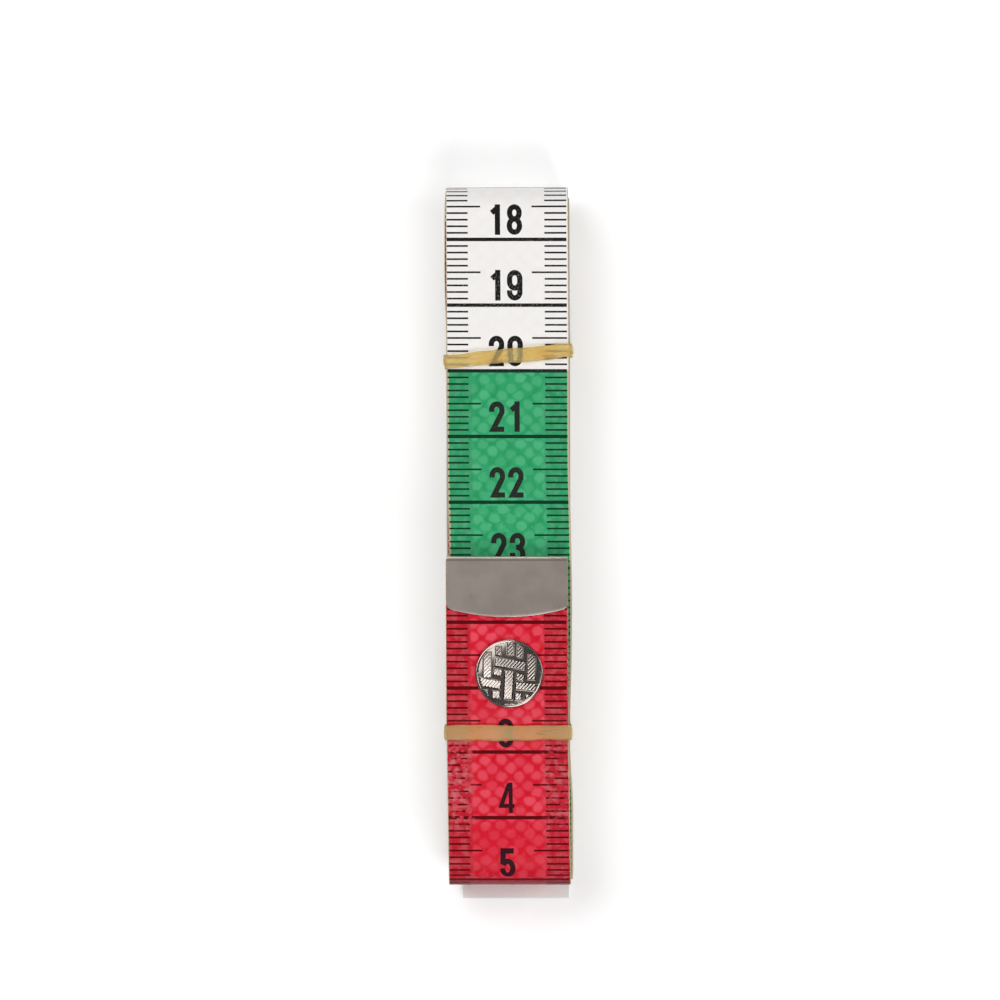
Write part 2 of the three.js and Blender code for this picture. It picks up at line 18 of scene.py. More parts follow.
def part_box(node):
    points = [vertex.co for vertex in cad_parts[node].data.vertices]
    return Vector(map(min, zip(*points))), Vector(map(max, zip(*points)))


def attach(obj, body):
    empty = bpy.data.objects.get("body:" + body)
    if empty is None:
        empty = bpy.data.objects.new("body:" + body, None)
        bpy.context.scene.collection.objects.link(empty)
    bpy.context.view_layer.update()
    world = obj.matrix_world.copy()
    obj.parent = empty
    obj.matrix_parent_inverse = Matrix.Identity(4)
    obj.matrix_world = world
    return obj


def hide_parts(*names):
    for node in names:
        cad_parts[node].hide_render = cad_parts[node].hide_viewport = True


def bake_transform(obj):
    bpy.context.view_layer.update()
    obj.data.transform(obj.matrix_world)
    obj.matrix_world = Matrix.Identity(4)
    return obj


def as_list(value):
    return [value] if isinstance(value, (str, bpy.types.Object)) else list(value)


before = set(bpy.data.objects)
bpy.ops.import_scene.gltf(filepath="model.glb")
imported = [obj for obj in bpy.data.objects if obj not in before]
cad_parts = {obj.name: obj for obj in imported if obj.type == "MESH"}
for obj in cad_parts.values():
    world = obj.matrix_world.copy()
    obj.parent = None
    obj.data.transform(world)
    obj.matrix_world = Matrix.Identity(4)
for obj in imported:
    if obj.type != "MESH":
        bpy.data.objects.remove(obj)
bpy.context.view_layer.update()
MM = 0.001

# %% [markdown]
# ## Camera
#
# The tape is seen square on, so the camera looks straight down on it. A long lens far away keeps
# the edges parallel, as in a catalogue picture.

# %% Camera
VIEW_CENTRE = (-1.25 * MM, 6.6 * MM)
VIEW_WIDTH = 152 * MM
CAMERA_DISTANCE = 2400 * MM
SENSOR_WIDTH = 36

front_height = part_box("tape_tip")[1].z
camera_data = bpy.data.cameras.new("camera")
camera_data.sensor_width = SENSOR_WIDTH
camera_data.lens = SENSOR_WIDTH * CAMERA_DISTANCE / VIEW_WIDTH
camera = bpy.data.objects.new("camera", camera_data)
camera.location = (*VIEW_CENTRE, front_height + CAMERA_DISTANCE)
bpy.context.scene.collection.objects.link(camera)
bpy.context.scene.camera = camera
print("lens, mm:", round(camera_data.lens, 1))

# %% [markdown]
# ## Helpers
#
# A piece is a bmesh that becomes an object at the origin, with its place in its mesh. A finish is
# made of nodes: each helper adds one and gives back its output, so a pattern reads like a formula.

# %% Helpers for pieces
def new_object(name, bm, materials=()):
    mesh = bpy.data.meshes.new(name)
    bm.to_mesh(mesh)
    bm.free()
    for material in materials:
        mesh.materials.append(material)
    made = bpy.data.objects.new(name, mesh)
    bpy.context.scene.collection.objects.link(made)
    return made


def modified(made, kind, **settings):
    """The object, with the mesh that a modifier makes of it."""
    modifier = made.modifiers.new(kind, kind)
    for key, value in settings.items():
        setattr(modifier, key, value)
    depsgraph = bpy.context.evaluated_depsgraph_get()
    mesh = bpy.data.meshes.new_from_object(made.evaluated_get(depsgraph))
    made.modifiers.clear()
    made.data = mesh
    return made


def report(made):
    triangles = sum(len(polygon.vertices) - 2 for polygon in made.data.polygons)
    print(f"{made.name}: {triangles} triangles")
    return made


def smooth(made, sharp_degrees=60):
    made.data.polygons.foreach_set("use_smooth", [True] * len(made.data.polygons))
    made.data.set_sharp_from_angle(angle=math.radians(sharp_degrees))
    return report(made)


# %% Helpers for meshes
def points_of(made):
    points = np.empty(len(made.data.vertices) * 3)
    made.data.vertices.foreach_get("co", points)
    return points.reshape(-1, 3)


def move_points(made, points):
    made.data.vertices.foreach_set("co", points.astype(np.float32).ravel())
    made.data.update()


def face_outwards(made):
    bm = bmesh.new()
    bm.from_mesh(made.data)
    bmesh.ops.recalc_face_normals(bm, faces=bm.faces)
    bm.to_mesh(made.data)
    bm.free()
    return made


def cut(bm, place, normal, **settings):
    """Cut everything with a plane, and give back what lies in the cut."""
    everything = bm.verts[:] + bm.edges[:] + bm.faces[:]
    return bmesh.ops.bisect_plane(bm, geom=everything, plane_co=place, plane_no=normal,
                                  **settings)["geom_cut"]


def soften(bm, edges, width, segments):
    bmesh.ops.bevel(bm, geom=edges, offset=width, segments=segments, profile=0.5, affect="EDGES",
                    material=-1)


def only(kind, items):
    return [item for item in items if isinstance(item, kind)]


# %% Helpers for finishes
def feed(node, values):
    """Give a node's inputs plain values, or links from other nodes."""
    for key, value in values.items():
        if isinstance(value, bpy.types.NodeSocket):
            node.id_data.links.new(value, node.inputs[key])
        else:
            node.inputs[key].default_value = value


def add(kind, values, tree=None, **settings):
    """A new node with its settings and inputs, in the tree that its links come from."""
    if tree is None:
        tree = next(value.id_data for value in values.values()
                    if isinstance(value, bpy.types.NodeSocket))
    node = tree.nodes.new("ShaderNode" + kind)
    for key, value in settings.items():
        setattr(node, key, value)
    feed(node, values)
    return node


def source(shader, kind, **settings):
    """The outputs of a new node that takes no links, such as a texture's coordinates."""
    return add(kind, {}, shader.id_data, **settings).outputs


def maths(operation, *values):
    return add("Math", dict(enumerate(values)), operation=operation).outputs[0]


def times(product, *factors):
    for factor in factors:
        product = maths("MULTIPLY", product, factor)
    return product


def between(value, start, end, low=0.0, high=1.0, easing="SMOOTHSTEP"):
    """The value carried from one range to another, and kept inside it."""
    values = {"Value": value, "From Min": start, "From Max": end, "To Min": low, "To Max": high}
    return add("MapRange", values, interpolation_type=easing).outputs["Result"]


def plateau(value, places, high=1.0):
    """Up between the first two places, down to 0 between the last two."""
    return times(between(value, *places[:2]), between(value, *places[2:], high, 0.0))


def mixed(share, first, second):
    return add("Mix", {0: share, 6: first, 7: second}, data_type="RGBA").outputs[2]


def noise(place, scale, detail=2.0):
    """Clouds of noise. A scale with three numbers stretches them."""
    if isinstance(scale, tuple):
        place, scale = add("Mapping", {"Vector": place, "Scale": scale}).outputs[0], 1.0
    return add("TexNoise", {"Vector": place, "Scale": scale, "Detail": detail}).outputs["Fac"]


# %% Colours, and the surface they are for
def as_seen(red, green, blue):
    """A colour with values from 0 to 255, as a picture shows it, in a shader's linear values."""
    shares = [value / 255 for value in (red, green, blue)]
    return (*[share / 12.92 if share <= 0.04045 else ((share + 0.055) / 1.055) ** 2.4
              for share in shares], 1)


def darkened(colour, share):
    return (*[value * share for value in colour[:3]], 1)


def new_finish(name, roughness, metallic=0.0):
    material = bpy.data.materials.new(name)
    material.use_nodes = True
    shader = material.node_tree.nodes["Principled BSDF"]
    feed(shader, {"Roughness": roughness, "Metallic": metallic})
    return material, shader


def surface(shader, colour, relief, strength, depth_mm, invert=False):
    """Feed the shader a colour, and fine relief that is too small to model."""
    values = {"Height": relief, "Strength": strength, "Distance": depth_mm * MM}
    bump = add("Bump", values, invert=invert).outputs["Normal"]
    feed(shader, {"Base Color": colour, "Normal": bump})


# %% [markdown]
# ## Light and floor
#
# A big soft lamp stands high at the upper left, and weaker ones go round the bundle. The sky is
# calm overhead and darker lower down. Nickel seen from above mirrors the calm part, while the
# button's pressed pattern picks up the lamps and the dark between them.

# %% Light
LAMPS = [  # name, place, size, power
    ("lamp_key", (-0.42, 0.4, 0.82), 0.7, 5.3),
    ("lamp_foot", (0.2, -0.62, 0.75), 0.5, 4.6),
    ("lamp_right", (0.8, 0.15, 0.5), 0.4, 1.6),
    ("lamp_head", (0.0, 0.9, 0.3), 0.3, 1.2),
]

for name, place, size, power in LAMPS:
    lamp = bpy.data.lights.new(name, "AREA")
    lamp.shape, lamp.size, lamp.energy = "SQUARE", size, power
    holder = bpy.data.objects.new(name, lamp)
    holder.location = place
    holder.rotation_euler = Vector(place).to_track_quat("Z", "Y").to_euler()
    bpy.context.scene.collection.objects.link(holder)
bpy.context.scene.view_settings.view_transform = "Standard"
print(len(LAMPS), "lamps")

# %% Sky, white where the camera looks at it
SKY_LOW, SKY_HIGH = 0.07, 0.31
CALM = (0.8, 0.96)  # share upwards of the directions where it brightens
WHITE = (1, 1, 1, 1)

world = bpy.data.worlds.new("studio")
world.use_nodes = True
bpy.context.scene.world = world
background = world.node_tree.nodes["Background"]
direction = add("SeparateXYZ", {0: source(background, "TexCoord")["Generated"]}).outputs
overhead = between(direction["Z"], *CALM, SKY_LOW, SKY_HIGH, "LINEAR")
camera_ray = source(background, "LightPath")["Is Camera Ray"]
strength = between(camera_ray, 0, 1, overhead, 1.0, "LINEAR")
feed(background, {"Color": WHITE, "Strength": strength})

# %% Floor, a little brighter where camera, metal and rubber look at it
FLOOR_SIZE = 4.0
FLOOR_GREY = (0.9, 0.9, 0.9, 1)
FLOOR_GLOW = 0.25

floor_bm = bmesh.new()
bmesh.ops.create_grid(floor_bm, x_segments=1, y_segments=1, size=FLOOR_SIZE / 2)
paper, paper_shader = new_finish("floor_paper", 0.8)
rays = source(paper_shader, "LightPath")
seen = maths("MAXIMUM", rays["Is Camera Ray"], rays["Is Glossy Ray"])
seen = maths("MAXIMUM", seen, rays["Is Transmission Ray"])
glow = between(seen, 0, 1, 0.0, FLOOR_GLOW, "LINEAR")
feed(paper_shader, {"Base Color": FLOOR_GREY, "Emission Color": WHITE, "Emission Strength": glow})
floor = new_object("floor", floor_bm, [paper])

# %% [markdown]
# ## The way the tape lies
#
# Seen from the side, the tape is a flat spiral: down the front from its zero edge, round the lower
# end, up the back, round the upper end, and in again one layer deeper. Its bends are rounded
# squares, because the bands press the bundle flat. The front layers bulge a little over the snap,
# which sits between the first two.

# %% Sizes of the spiral
LAYERS = 8
TAPE_LENGTH = 1500 * MM
LAYER_GAP = 0.45 * MM
CORE_RADIUS = 0.84 * MM
CORNER_SHARE = 0.77
BULGE = 0.4 * MM
UPPER_RAMP_START = 10 * MM
UPPER_RAMP_LENGTH = 12 * MM
LEVEL_LENGTH = 21.9 * MM
RAMP_LENGTH = 8 * MM
FINE_STEPS = 24

wound_low, wound_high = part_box("tape_winding")
tip_low, tip_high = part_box("tape_tip")
tape_width = wound_high.x - wound_low.x
tape_thickness = tip_high.z - tip_low.z
half_tape = tape_thickness / 2
bundle_length = wound_high.y - wound_low.y
bundle_centre = (wound_high.y + wound_low.y) / 2
pitch = tape_thickness + LAYER_GAP
zero_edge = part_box("end_cap_outer")[1].y
flap_height = (tip_low.z + tip_high.z) / 2
middle = wound_low.z + half_tape + CORE_RADIUS + (LAYERS - 2) * pitch
print("tape, mm:", round(tape_width / MM, 2), "wide,", round(tape_thickness / MM, 2), "thick")


# %% Heights of the front layers
def front_height_of(layer):
    return middle + CORE_RADIUS + (LAYERS - 1 - layer) * pitch


def eased(share):
    share = np.clip(share, 0, 1)
    return share * share * (3 - 2 * share)


ramp_top = zero_edge - LEVEL_LENGTH
ramp_foot = ramp_top - RAMP_LENGTH
upper_start = bundle_centre + UPPER_RAMP_START
upper_foot = upper_start + UPPER_RAMP_LENGTH
flap_rise = flap_height - front_height_of(0)


def bulge_share(y):
    upper = eased((y - upper_start) / (upper_foot - upper_start))
    return eased((y - ramp_foot) / (ramp_top - ramp_foot)) * (1 - upper)


# %% Straights and bends
def ramp(start, end, height_at):
    steps = [start + (end - start) * step / FINE_STEPS for step in range(FINE_STEPS + 1)]
    return [(y, height_at(y)) for y in steps]


def arc(centre, radius, start, end, steps):
    angles = [math.radians(start + (end - start) * step / steps) for step in range(steps + 1)]
    return [(centre[0] + radius * math.cos(angle), centre[1] + radius * math.sin(angle))
            for angle in angles]


def half_turn(centre_y, centre_z, radius, start_degrees):
    """Two rounded corners with a short flat between them."""
    points = []
    corner = CORNER_SHARE * radius
    for start in (start_degrees, start_degrees + 90):
        towards = math.radians(start + 45)
        corner_y = centre_y + math.copysign(radius - corner, math.cos(towards))
        corner_z = centre_z + math.copysign(radius - corner, math.sin(towards))
        points += arc((corner_y, corner_z), corner, start, start + 90, FINE_STEPS)
    return points


# %% The whole spiral
def spiral():
    outer_lower = CORE_RADIUS + (LAYERS - 1.5) * pitch
    outer_upper = CORE_RADIUS + (LAYERS - 2) * pitch
    lower_y = bundle_centre - bundle_length / 2 + outer_lower + half_tape
    upper_y = bundle_centre + bundle_length / 2 - outer_upper - half_tape
    points = [(zero_edge, flap_height)]
    for layer in range(LAYERS - 1):
        rise = BULGE if layer else flap_rise

        def height_at(y):
            return front_height_of(layer) + rise * bulge_share(y)

        if layer:
            points += ramp(upper_foot, upper_start, height_at)
        points += ramp(ramp_top, ramp_foot, height_at)
        points += half_turn(lower_y, middle + pitch / 2, outer_lower - layer * pitch, 90)
        points += half_turn(upper_y, middle, outer_upper - layer * pitch, 270)
    return np.array(points + [(lower_y, front_height_of(LAYERS - 1))])


# %% [markdown]
# The route is sampled every half millimetre. Cloth and ink are both cut at these rows, so they bend
# along the same lines and the ink never dips under the cloth. A slow drift sideways and a lazy wave
# keep the layers from looking machined.

# %% Rows along the tape
ROW = 0.5 * MM
DRIFT = [  # distance along the tape and shift to the right, in mm
    (0, -0.22), (25, -0.12), (52, 0.3), (80, 0.18), (120, -0.1), (165, -0.25), (200, -0.05),
    (215, 0.02), (226, 0.3), (236, 0.42), (246, 0.34), (251, 0.14), (259, 0.14), (265, 0.58),
    (277, 0.62), (292, 0.2), (345, 0.05), (388, -0.12), (399, -0.42), (409, -0.42), (418, -0.08),
    (450, 0.1), (478, 0.1), (494, 0.34), (506, 0.2), (560, -0.12), (600, -0.05), (640, 0.1),
    (670, 0.2), (696, 0.1), (712, 0.34), (724, 0.2), (780, -0.12), (853, 0.1), (880, 0.15),
    (909, 0.1), (925, 0.32), (938, 0.15), (1000, -0.1), (1060, 0.08), (1090, 0.15), (1117, 0.1),
    (1133, 0.3), (1146, 0.15), (1200, -0.12), (1263, 0.05), (1319, 0.1), (1335, 0.3), (1348, 0.1),
    (1400, -0.08), (1450, 0.05), (1500, 0),
]
DRIFT_BLUR = 5  # rows to each side
WAVE_HEIGHT = 0.05 * MM
WAVES = (5.3 * MM, 17.1 * MM)
ROLL_SLOPE = 0.008
ROLL_WAVE = 13.7 * MM
CALM_LENGTH = 60 * MM
CALM_AGAIN = 1180 * MM

rough = spiral()
steps = np.hypot(*np.diff(rough, axis=0).T)
travelled = np.concatenate([[0], np.cumsum(steps)])
rows = np.arange(round(TAPE_LENGTH / ROW) + 1) * ROW
route = np.column_stack([np.interp(rows, travelled, rough[:, axis]) for axis in (0, 1)])
heading = np.gradient(route, axis=0)
heading /= np.hypot(*heading.T)[:, None]
outward = np.column_stack([heading[:, 1], -heading[:, 0]])
blur = 2 * DRIFT_BLUR + 1
drift = np.pad(np.interp(rows, *np.array(DRIFT).T * MM), DRIFT_BLUR, mode="edge")
drift = np.convolve(drift, np.ones(blur) / blur, mode="valid")
calm = np.clip(np.minimum(rows / CALM_LENGTH - 1, (CALM_AGAIN - rows) / CALM_LENGTH), 0, 1)
wave = WAVE_HEIGHT * calm * np.sin(rows / WAVES[0]) * np.sin(rows / WAVES[1])
roll = ROLL_SLOPE * calm * np.sin(rows / ROLL_WAVE + 1)
print("spiral length, mm:", round(travelled[-1] / MM, 1))


# %% Winding
def wound(points):
    """Points of the flat tape, laid on the route."""
    across, height = points[:, 0], points[:, 2]
    distance = -points[:, 1]

    def at(values):
        return np.interp(distance, rows, values)

    raised = height + at(wave) + at(roll) * across
    return np.column_stack([
        across + at(drift),
        at(route[:, 0]) + at(outward[:, 0]) * raised,
        at(route[:, 1]) + at(outward[:, 1]) * raised,
    ])


# %% [markdown]
# ## The cloth
#
# A strip of cloth is a flat slab with softened long edges, cut into rows. Its UV map says how far
# across and along each point is, in metres, so the weave keeps its size round every bend.

# %% A flat strip of cloth
EDGE_ROUND = 0.09 * MM
SUPPORT = 0.25 * MM
COLUMN = 3 * MM


def long_edges(bm, length=ROW / 2):
    return [edge for edge in bm.edges if abs(edge.verts[0].co.y - edge.verts[1].co.y) > length]


def flat_strip(start, end):
    bm = bmesh.new()
    bmesh.ops.create_cube(bm, size=1)
    bmesh.ops.scale(bm, verts=bm.verts, vec=(tape_width, end - start, tape_thickness))
    bmesh.ops.translate(bm, verts=bm.verts, vec=(0, -(start + end) / 2, 0))
    soften(bm, long_edges(bm), EDGE_ROUND, 1)
    for place in (-tape_width / 2 + SUPPORT, -COLUMN, COLUMN, tape_width / 2 - SUPPORT):
        cut(bm, (place, 0, 0), (1, 0, 0))
    cuts = round((end - start) / ROW) - 1
    bmesh.ops.subdivide_edges(bm, edges=long_edges(bm), cuts=cuts, use_grid_fill=True)
    return bm


# %% UV map and colours by place
DECADE = 100 * MM
SLOT_COUNT = 4


def flat_uv(made):
    corners = np.empty(len(made.data.loops), dtype=int)
    made.data.loops.foreach_get("vertex_index", corners)
    across_and_along = points_of(made)[corners, :2] * (1, -1)
    layer = made.data.uv_layers.new(name="tape")
    layer.data.foreach_set("uv", across_and_along.astype(np.float32).ravel())


def decade_of(distance):
    """Number of the colour at a distance from the print's zero."""
    return np.floor(distance / DECADE).astype(int) % SLOT_COUNT


def colour_faces(made, edge_slot):
    centres = np.array([polygon.center for polygon in made.data.polygons])
    distance = -centres[:, 1]
    slots = np.where(centres[:, 2] > 0, decade_of(distance), decade_of(TAPE_LENGTH - distance))
    if edge_slot is not None:
        upright = np.array([abs(polygon.normal.z) for polygon in made.data.polygons]) > 0.5
        slots = np.where(upright, slots, edge_slot)
    made.data.polygons.foreach_set("material_index", slots)


# %% [markdown]
# ## Finishes of the cloth
#
# The coating is thin, so the weave shows through as rounded, lighter spots in staggered rows. A
# Voronoi pattern on a lattice turned by 45 degrees gives such rows, and no spot is quite like its
# neighbour. Along both edges the weave is finer and runs lengthwise, and at the very edge the cream
# yarn shows. Both edges also carry painted shade, deepest on red. Lengths in these finishes are in
# millimetres.

# %% Where a point is on the tape
def tape_place(shader):
    """The point's place on the flat tape, and its distances across, from the middle, and along."""
    uv = source(shader, "UVMap", uv_map="tape")["UV"]
    place = add("VectorMath", {0: uv, 1: (1 / MM,) * 3}, operation="MULTIPLY").outputs[0]
    parts = add("SeparateXYZ", {0: place}).outputs
    return place, parts["X"], maths("ABSOLUTE", parts["X"]), parts["Y"]


# %% The weave under the coating
SPOT_PERIOD = 2.74
SPOT_ROW = 1.25
SPOT_ZONE = 5.6
SPOT_UNEVEN = 0.25
LATTICE_BEND = (0.6, 0.8, 0)


def weave_spots(place, aside):
    """How much a point is in a light spot, and in the zone that has spots, and the spot's tone."""
    bend = add("TexNoise", {"Vector": place, "Scale": 0.9, "Detail": 1.0}).outputs["Color"]
    bend = add("VectorMath", {0: bend, 1: (0.5,) * 3}, operation="SUBTRACT").outputs[0]
    bent_place = add("VectorMath", {0: bend, 1: LATTICE_BEND, 2: place},
                     operation="MULTIPLY_ADD").outputs[0]
    lattice = add("Mapping", {
        "Vector": bent_place,
        "Scale": (math.sqrt(2) / SPOT_PERIOD, 1 / (math.sqrt(2) * SPOT_ROW), 1),
        "Rotation": (0, 0, math.radians(45)),
    }).outputs[0]
    cells = add("TexVoronoi", {"Vector": lattice, "Scale": 1.0, "Randomness": SPOT_UNEVEN},
                voronoi_dimensions="2D").outputs
    spot = between(cells["Distance"], 0.25, 0.56, 1.0, 0.0)
    inside = between(aside, SPOT_ZONE - 0.3, SPOT_ZONE + 0.3, 1.0, 0.0)
    tone = add("SeparateColor", {0: cells["Color"]}).outputs[0]
    return times(spot, inside), inside, tone


# %% Wear where the flap is gripped
GRIPPED = (26, 29, 39, 43)  # distances from the zero edge
GRIP_INSIDE, GRIP_OUTSIDE = 4.2, 6.4
RIGHT_SHARE = 0.5


def gripped(across, along):
    """How worn a point is by fingers: most along the left edge of the gripped stretch."""
    left = between(across, -GRIP_OUTSIDE, -GRIP_INSIDE, 1.0, 0.0)
    right = between(across, GRIP_INSIDE, GRIP_OUTSIDE, 0.0, RIGHT_SHARE)
    return times(plateau(along, GRIPPED), maths("ADD", left, right))


# %% Spots on their ground
SPOT_TONES = (0.55, 0.42)
SPOTS_WORN = (1.15, 0.56)  # on red, their strength up to the end of the gripped stretch and past it
PATCHES, PATCH_SHARE = (0.75, 0.4, 1), 0.6
DEEPER = 1.25


def spotted(place, along, spot, tone, base, light, red):
    deep = (*[value ** DEEPER for value in base[:3]], 1)
    patch = between(noise(place, PATCHES, 3.0), 0.35, 0.65)
    ground = mixed(times(patch, PATCH_SHARE), base, deep)
    strength = times(spot, maths("MULTIPLY_ADD", tone, *SPOT_TONES))
    if red:
        worn = between(along, *GRIPPED[2:], *SPOTS_WORN)
        strength = times(strength, worn)
    return mixed(strength, ground, light)


# %% Rubbed coating, painted shade on the fold and the cream yarn
CREAM = as_seen(196, 183, 150)
# Painted shade where the red cloth turns away round the lower fold: its place along the tape, share
# and darkness.
FOLD_PAINTED_SHADE, FOLD_SHARE, FOLD_DEPTH = (50.1, 50.6, 53.5, 57), 0.88, 0.3
RAGGED = 0.25


def rubbed_through(light):
    """The coating rubbed thin, so that pale yarn shows."""
    return (*[max(value * 0.8, value * 0.6 + 0.16) for value in light[:3]], 1)


def used(places, colour, base, light, name):
    place, across, aside, along = places
    rub = between(noise(place, 1.1, 3.0), 0.5, 0.75)
    where_rubbed = between(noise(place, 0.07), 0.45, 0.65, 0.1, 0.8)
    colour = mixed(times(rub, where_rubbed), colour, light)
    if not name.endswith("white"):
        blotch = between(noise(place, 0.8, 2.5), 0.4, 0.68)
        reach = between(aside, SPOT_ZONE - 1.1, SPOT_ZONE + 0.6)
        share = maths("MULTIPLY_ADD", gripped(across, along), 0.5, 0.25)
        colour = mixed(times(share, reach, blotch), colour, rubbed_through(light))
    # Painted shade: on red, the cloth is darkened where it turns away round the lower fold.
    if name.endswith("red"):
        painted_fold_shade = plateau(along, FOLD_PAINTED_SHADE, FOLD_SHARE)
        colour = mixed(painted_fold_shade, colour, darkened(base, FOLD_DEPTH))
    return colour


def raw_edged(place, aside, colour, width):
    edge = maths("ADD", aside, times(noise(place, 3.0), RAGGED))
    start = tape_width / 2 / MM - width + RAGGED / 2
    return mixed(between(edge, start - 0.03, start + 0.03), colour, CREAM)


# %% Coated cloth in one colour
CLOTH_SPECULAR = 0.16
STREAKS, STREAK_SHARE = (4.2, 0.35, 1), 0.17
# How dark the painted shade along both edges is, as a share of the base colour.
EDGE_SHADE_DEPTH = 0.4
YARN_ACROSS, YARN_ALONG = 22.0, 17.0


def coated_cloth(name, base, light, raw_edge, edge_painted_shade):
    material, shader = new_finish(name, 0.42)
    place, across, aside, along = places = tape_place(shader)
    spot, inside, tone = weave_spots(place, aside)
    colour = spotted(place, along, spot, tone, base, light, name.endswith("red"))
    outside = maths("SUBTRACT", 1.0, inside)
    streak = between(noise(place, STREAKS), 0.35, 0.65)
    colour = mixed(times(streak, outside, STREAK_SHARE), colour, light)
    # Painted shade: both edges are darkened, by a share set for each colour.
    colour = mixed(times(outside, edge_painted_shade), colour, darkened(base, EDGE_SHADE_DEPTH))
    colour = used(places, colour, base, light, name)
    colour = raw_edged(place, aside, colour, raw_edge)

    warp = maths("SINE", times(across, YARN_ACROSS))
    weft = maths("SINE", times(along, YARN_ALONG))
    yarn = times(warp, weft, 0.12)
    relief = maths("ADD", maths("ADD", spot, yarn), times(streak, 0.15))
    surface(shader, colour, relief, 0.35, 0.05)
    rough = maths("MULTIPLY_ADD", noise(place, 1.5), 0.2, 0.34)
    feed(shader, {"Roughness": rough, "Specular IOR Level": CLOTH_SPECULAR})
    return material


# %% The four colours, in the order of the tape's decades
COLOURS = {  # base, light spots, width of the cream edge, and how much painted shade darkens both edges
    "red": (as_seen(214, 12, 44), as_seen(234, 74, 92), 0.12, 0.34),
    "white": (as_seen(246, 243, 241), as_seen(248, 246, 244), 0.08, 0),
    "green": (as_seen(44, 162, 106), as_seen(79, 183, 128), 0.3, 0.14),
    "yellow": (as_seen(226, 190, 84), as_seen(240, 212, 124), 0.3, 0.14),
}
FLAP_EDGE = 0.06
cloth_finishes = [coated_cloth(f"cloth_{name}", *look) for name, look in COLOURS.items()]
flap_finishes = [
    coated_cloth(f"flap_{name}", *look[:2], FLAP_EDGE, look[3]) for name, look in COLOURS.items()
]
print("cloth finishes:", [material.name for material in cloth_finishes + flap_finishes])


# %% Cut edge of the cloth, its yarns seen end on
def cut_edge():
    material, shader = new_finish("cloth_edge", 0.8)
    fibre = between(noise(tape_place(shader)[0], 4.0), 0.35, 0.7)
    surface(shader, mixed(fibre, as_seen(150, 136, 108), CREAM), fibre, 0.6, 0.05)
    return material


edge_finish = cut_edge()

# %% [markdown]
# ## Winding the cloth
#
# The real tape is one length of cloth. Here it is three pieces that meet under the lower band and
# under the button, because its first 25 mm lift off with the snap, and a piece can bend over only
# one fold.

# %% The three strips
BAND_SEAM = 27.5 * MM
BUTTON_SEAM = 16.5 * MM
TIP_START = 0.5 * MM
TAIL_END = 1499.5 * MM
STRETCHES = {
    "winding": (BAND_SEAM, TAIL_END, cloth_finishes),
    "flap": (BUTTON_SEAM, BAND_SEAM, flap_finishes),
    "tip": (TIP_START, BUTTON_SEAM, flap_finishes),
}


def wind(made, edge_slot=None):
    """A flat piece with its map and its colours, laid on the route."""
    flat_uv(made)
    colour_faces(made, edge_slot)
    move_points(made, wound(points_of(made)))
    return made


def tape_strip(name, start, end, finishes):
    made = new_object(name, flat_strip(start, end), finishes + [edge_finish])
    return smooth(wind(made, edge_slot=SLOT_COUNT))


winding, flap, tip = [tape_strip(f"{name}_cloth", *stretch) for name, stretch in STRETCHES.items()]
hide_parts("tape_winding")
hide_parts("tape_button_zone")
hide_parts("tape_tip")

# %% [markdown]
# ## The print
#
# Ink is its own thin layer on the cloth: a short mark each millimetre on both edges, a longer one
# each half centimetre, a full line and a number each centimetre. One centimetre of marks is made as
# very thin slabs, and an Array modifier repeats it along the flat tape.

# %% Marks of one centimetre
MARK_THICKNESS = 0.27 * MM
LINE_THICKNESS = 0.53 * MM
LEFT_MARK, RIGHT_MARK = 3.2 * MM, 3.35 * MM
LEFT_HALF_MARK, RIGHT_HALF_MARK = 5.1 * MM, 5.3 * MM
LEFT_MARGIN, RIGHT_MARGIN = 0.1 * MM, 0.28 * MM
INK_SUNK = 0.004 * MM
INK_PROUD = 0.01 * MM
CENTIMETRE = 10 * MM


def add_mark(bm, left, right, distance, thickness):
    placed = Matrix.Translation((
        (left + right) / 2, -distance, half_tape + (INK_PROUD - INK_SUNK) / 2,
    )) @ Matrix.Diagonal((right - left, thickness, INK_PROUD + INK_SUNK, 1))
    bmesh.ops.create_cube(bm, size=1, matrix=placed)


def centimetre_of_marks():
    bm = bmesh.new()
    left, right = LEFT_MARGIN - tape_width / 2, tape_width / 2 - RIGHT_MARGIN
    for step in range(1, 10):
        from_left = LEFT_HALF_MARK if step == 5 else LEFT_MARK
        from_right = RIGHT_HALF_MARK if step == 5 else RIGHT_MARK
        add_mark(bm, left, left + from_left, step * MM, MARK_THICKNESS)
        add_mark(bm, right - from_right, right, step * MM, MARK_THICKNESS)
    add_mark(bm, left, right, CENTIMETRE, LINE_THICKNESS)
    for step in range(1, 11):
        cut(bm, (0, -step * MM, 0), (0, 1, 0))
    return bm


# %% [markdown]
# Numbers are bold and narrow, with one width of stroke. Each is drawn as its middle lines, in
# shares of its size. The lines are raised to low walls, a Solidify modifier thickens them evenly,
# and a Boolean modifier joins the strokes of one number.

# %% Numerals as lines
NUMERAL_HALF = 0.785 * MM
NUMERAL_RISE = 3.85 * MM
STROKE = 0.8 * MM
NUMERAL_ADVANCE = 2.83 * MM
NUMERAL_FOOT = 1.1 * MM
NUMERAL_CENTRE = -0.3 * MM
ARC_STEPS = 9
CAP_SHARE = 0.104
LIGHT_STROKES = {"4": 0.6 * MM}


def bowl(centre, rise, start, end, reach=1.0):
    steps = max(2, round(ARC_STEPS * abs(end - start) / 180))
    return [(reach * x, centre + rise * y) for x, y in arc((0, 0), 1, start, end, steps)]


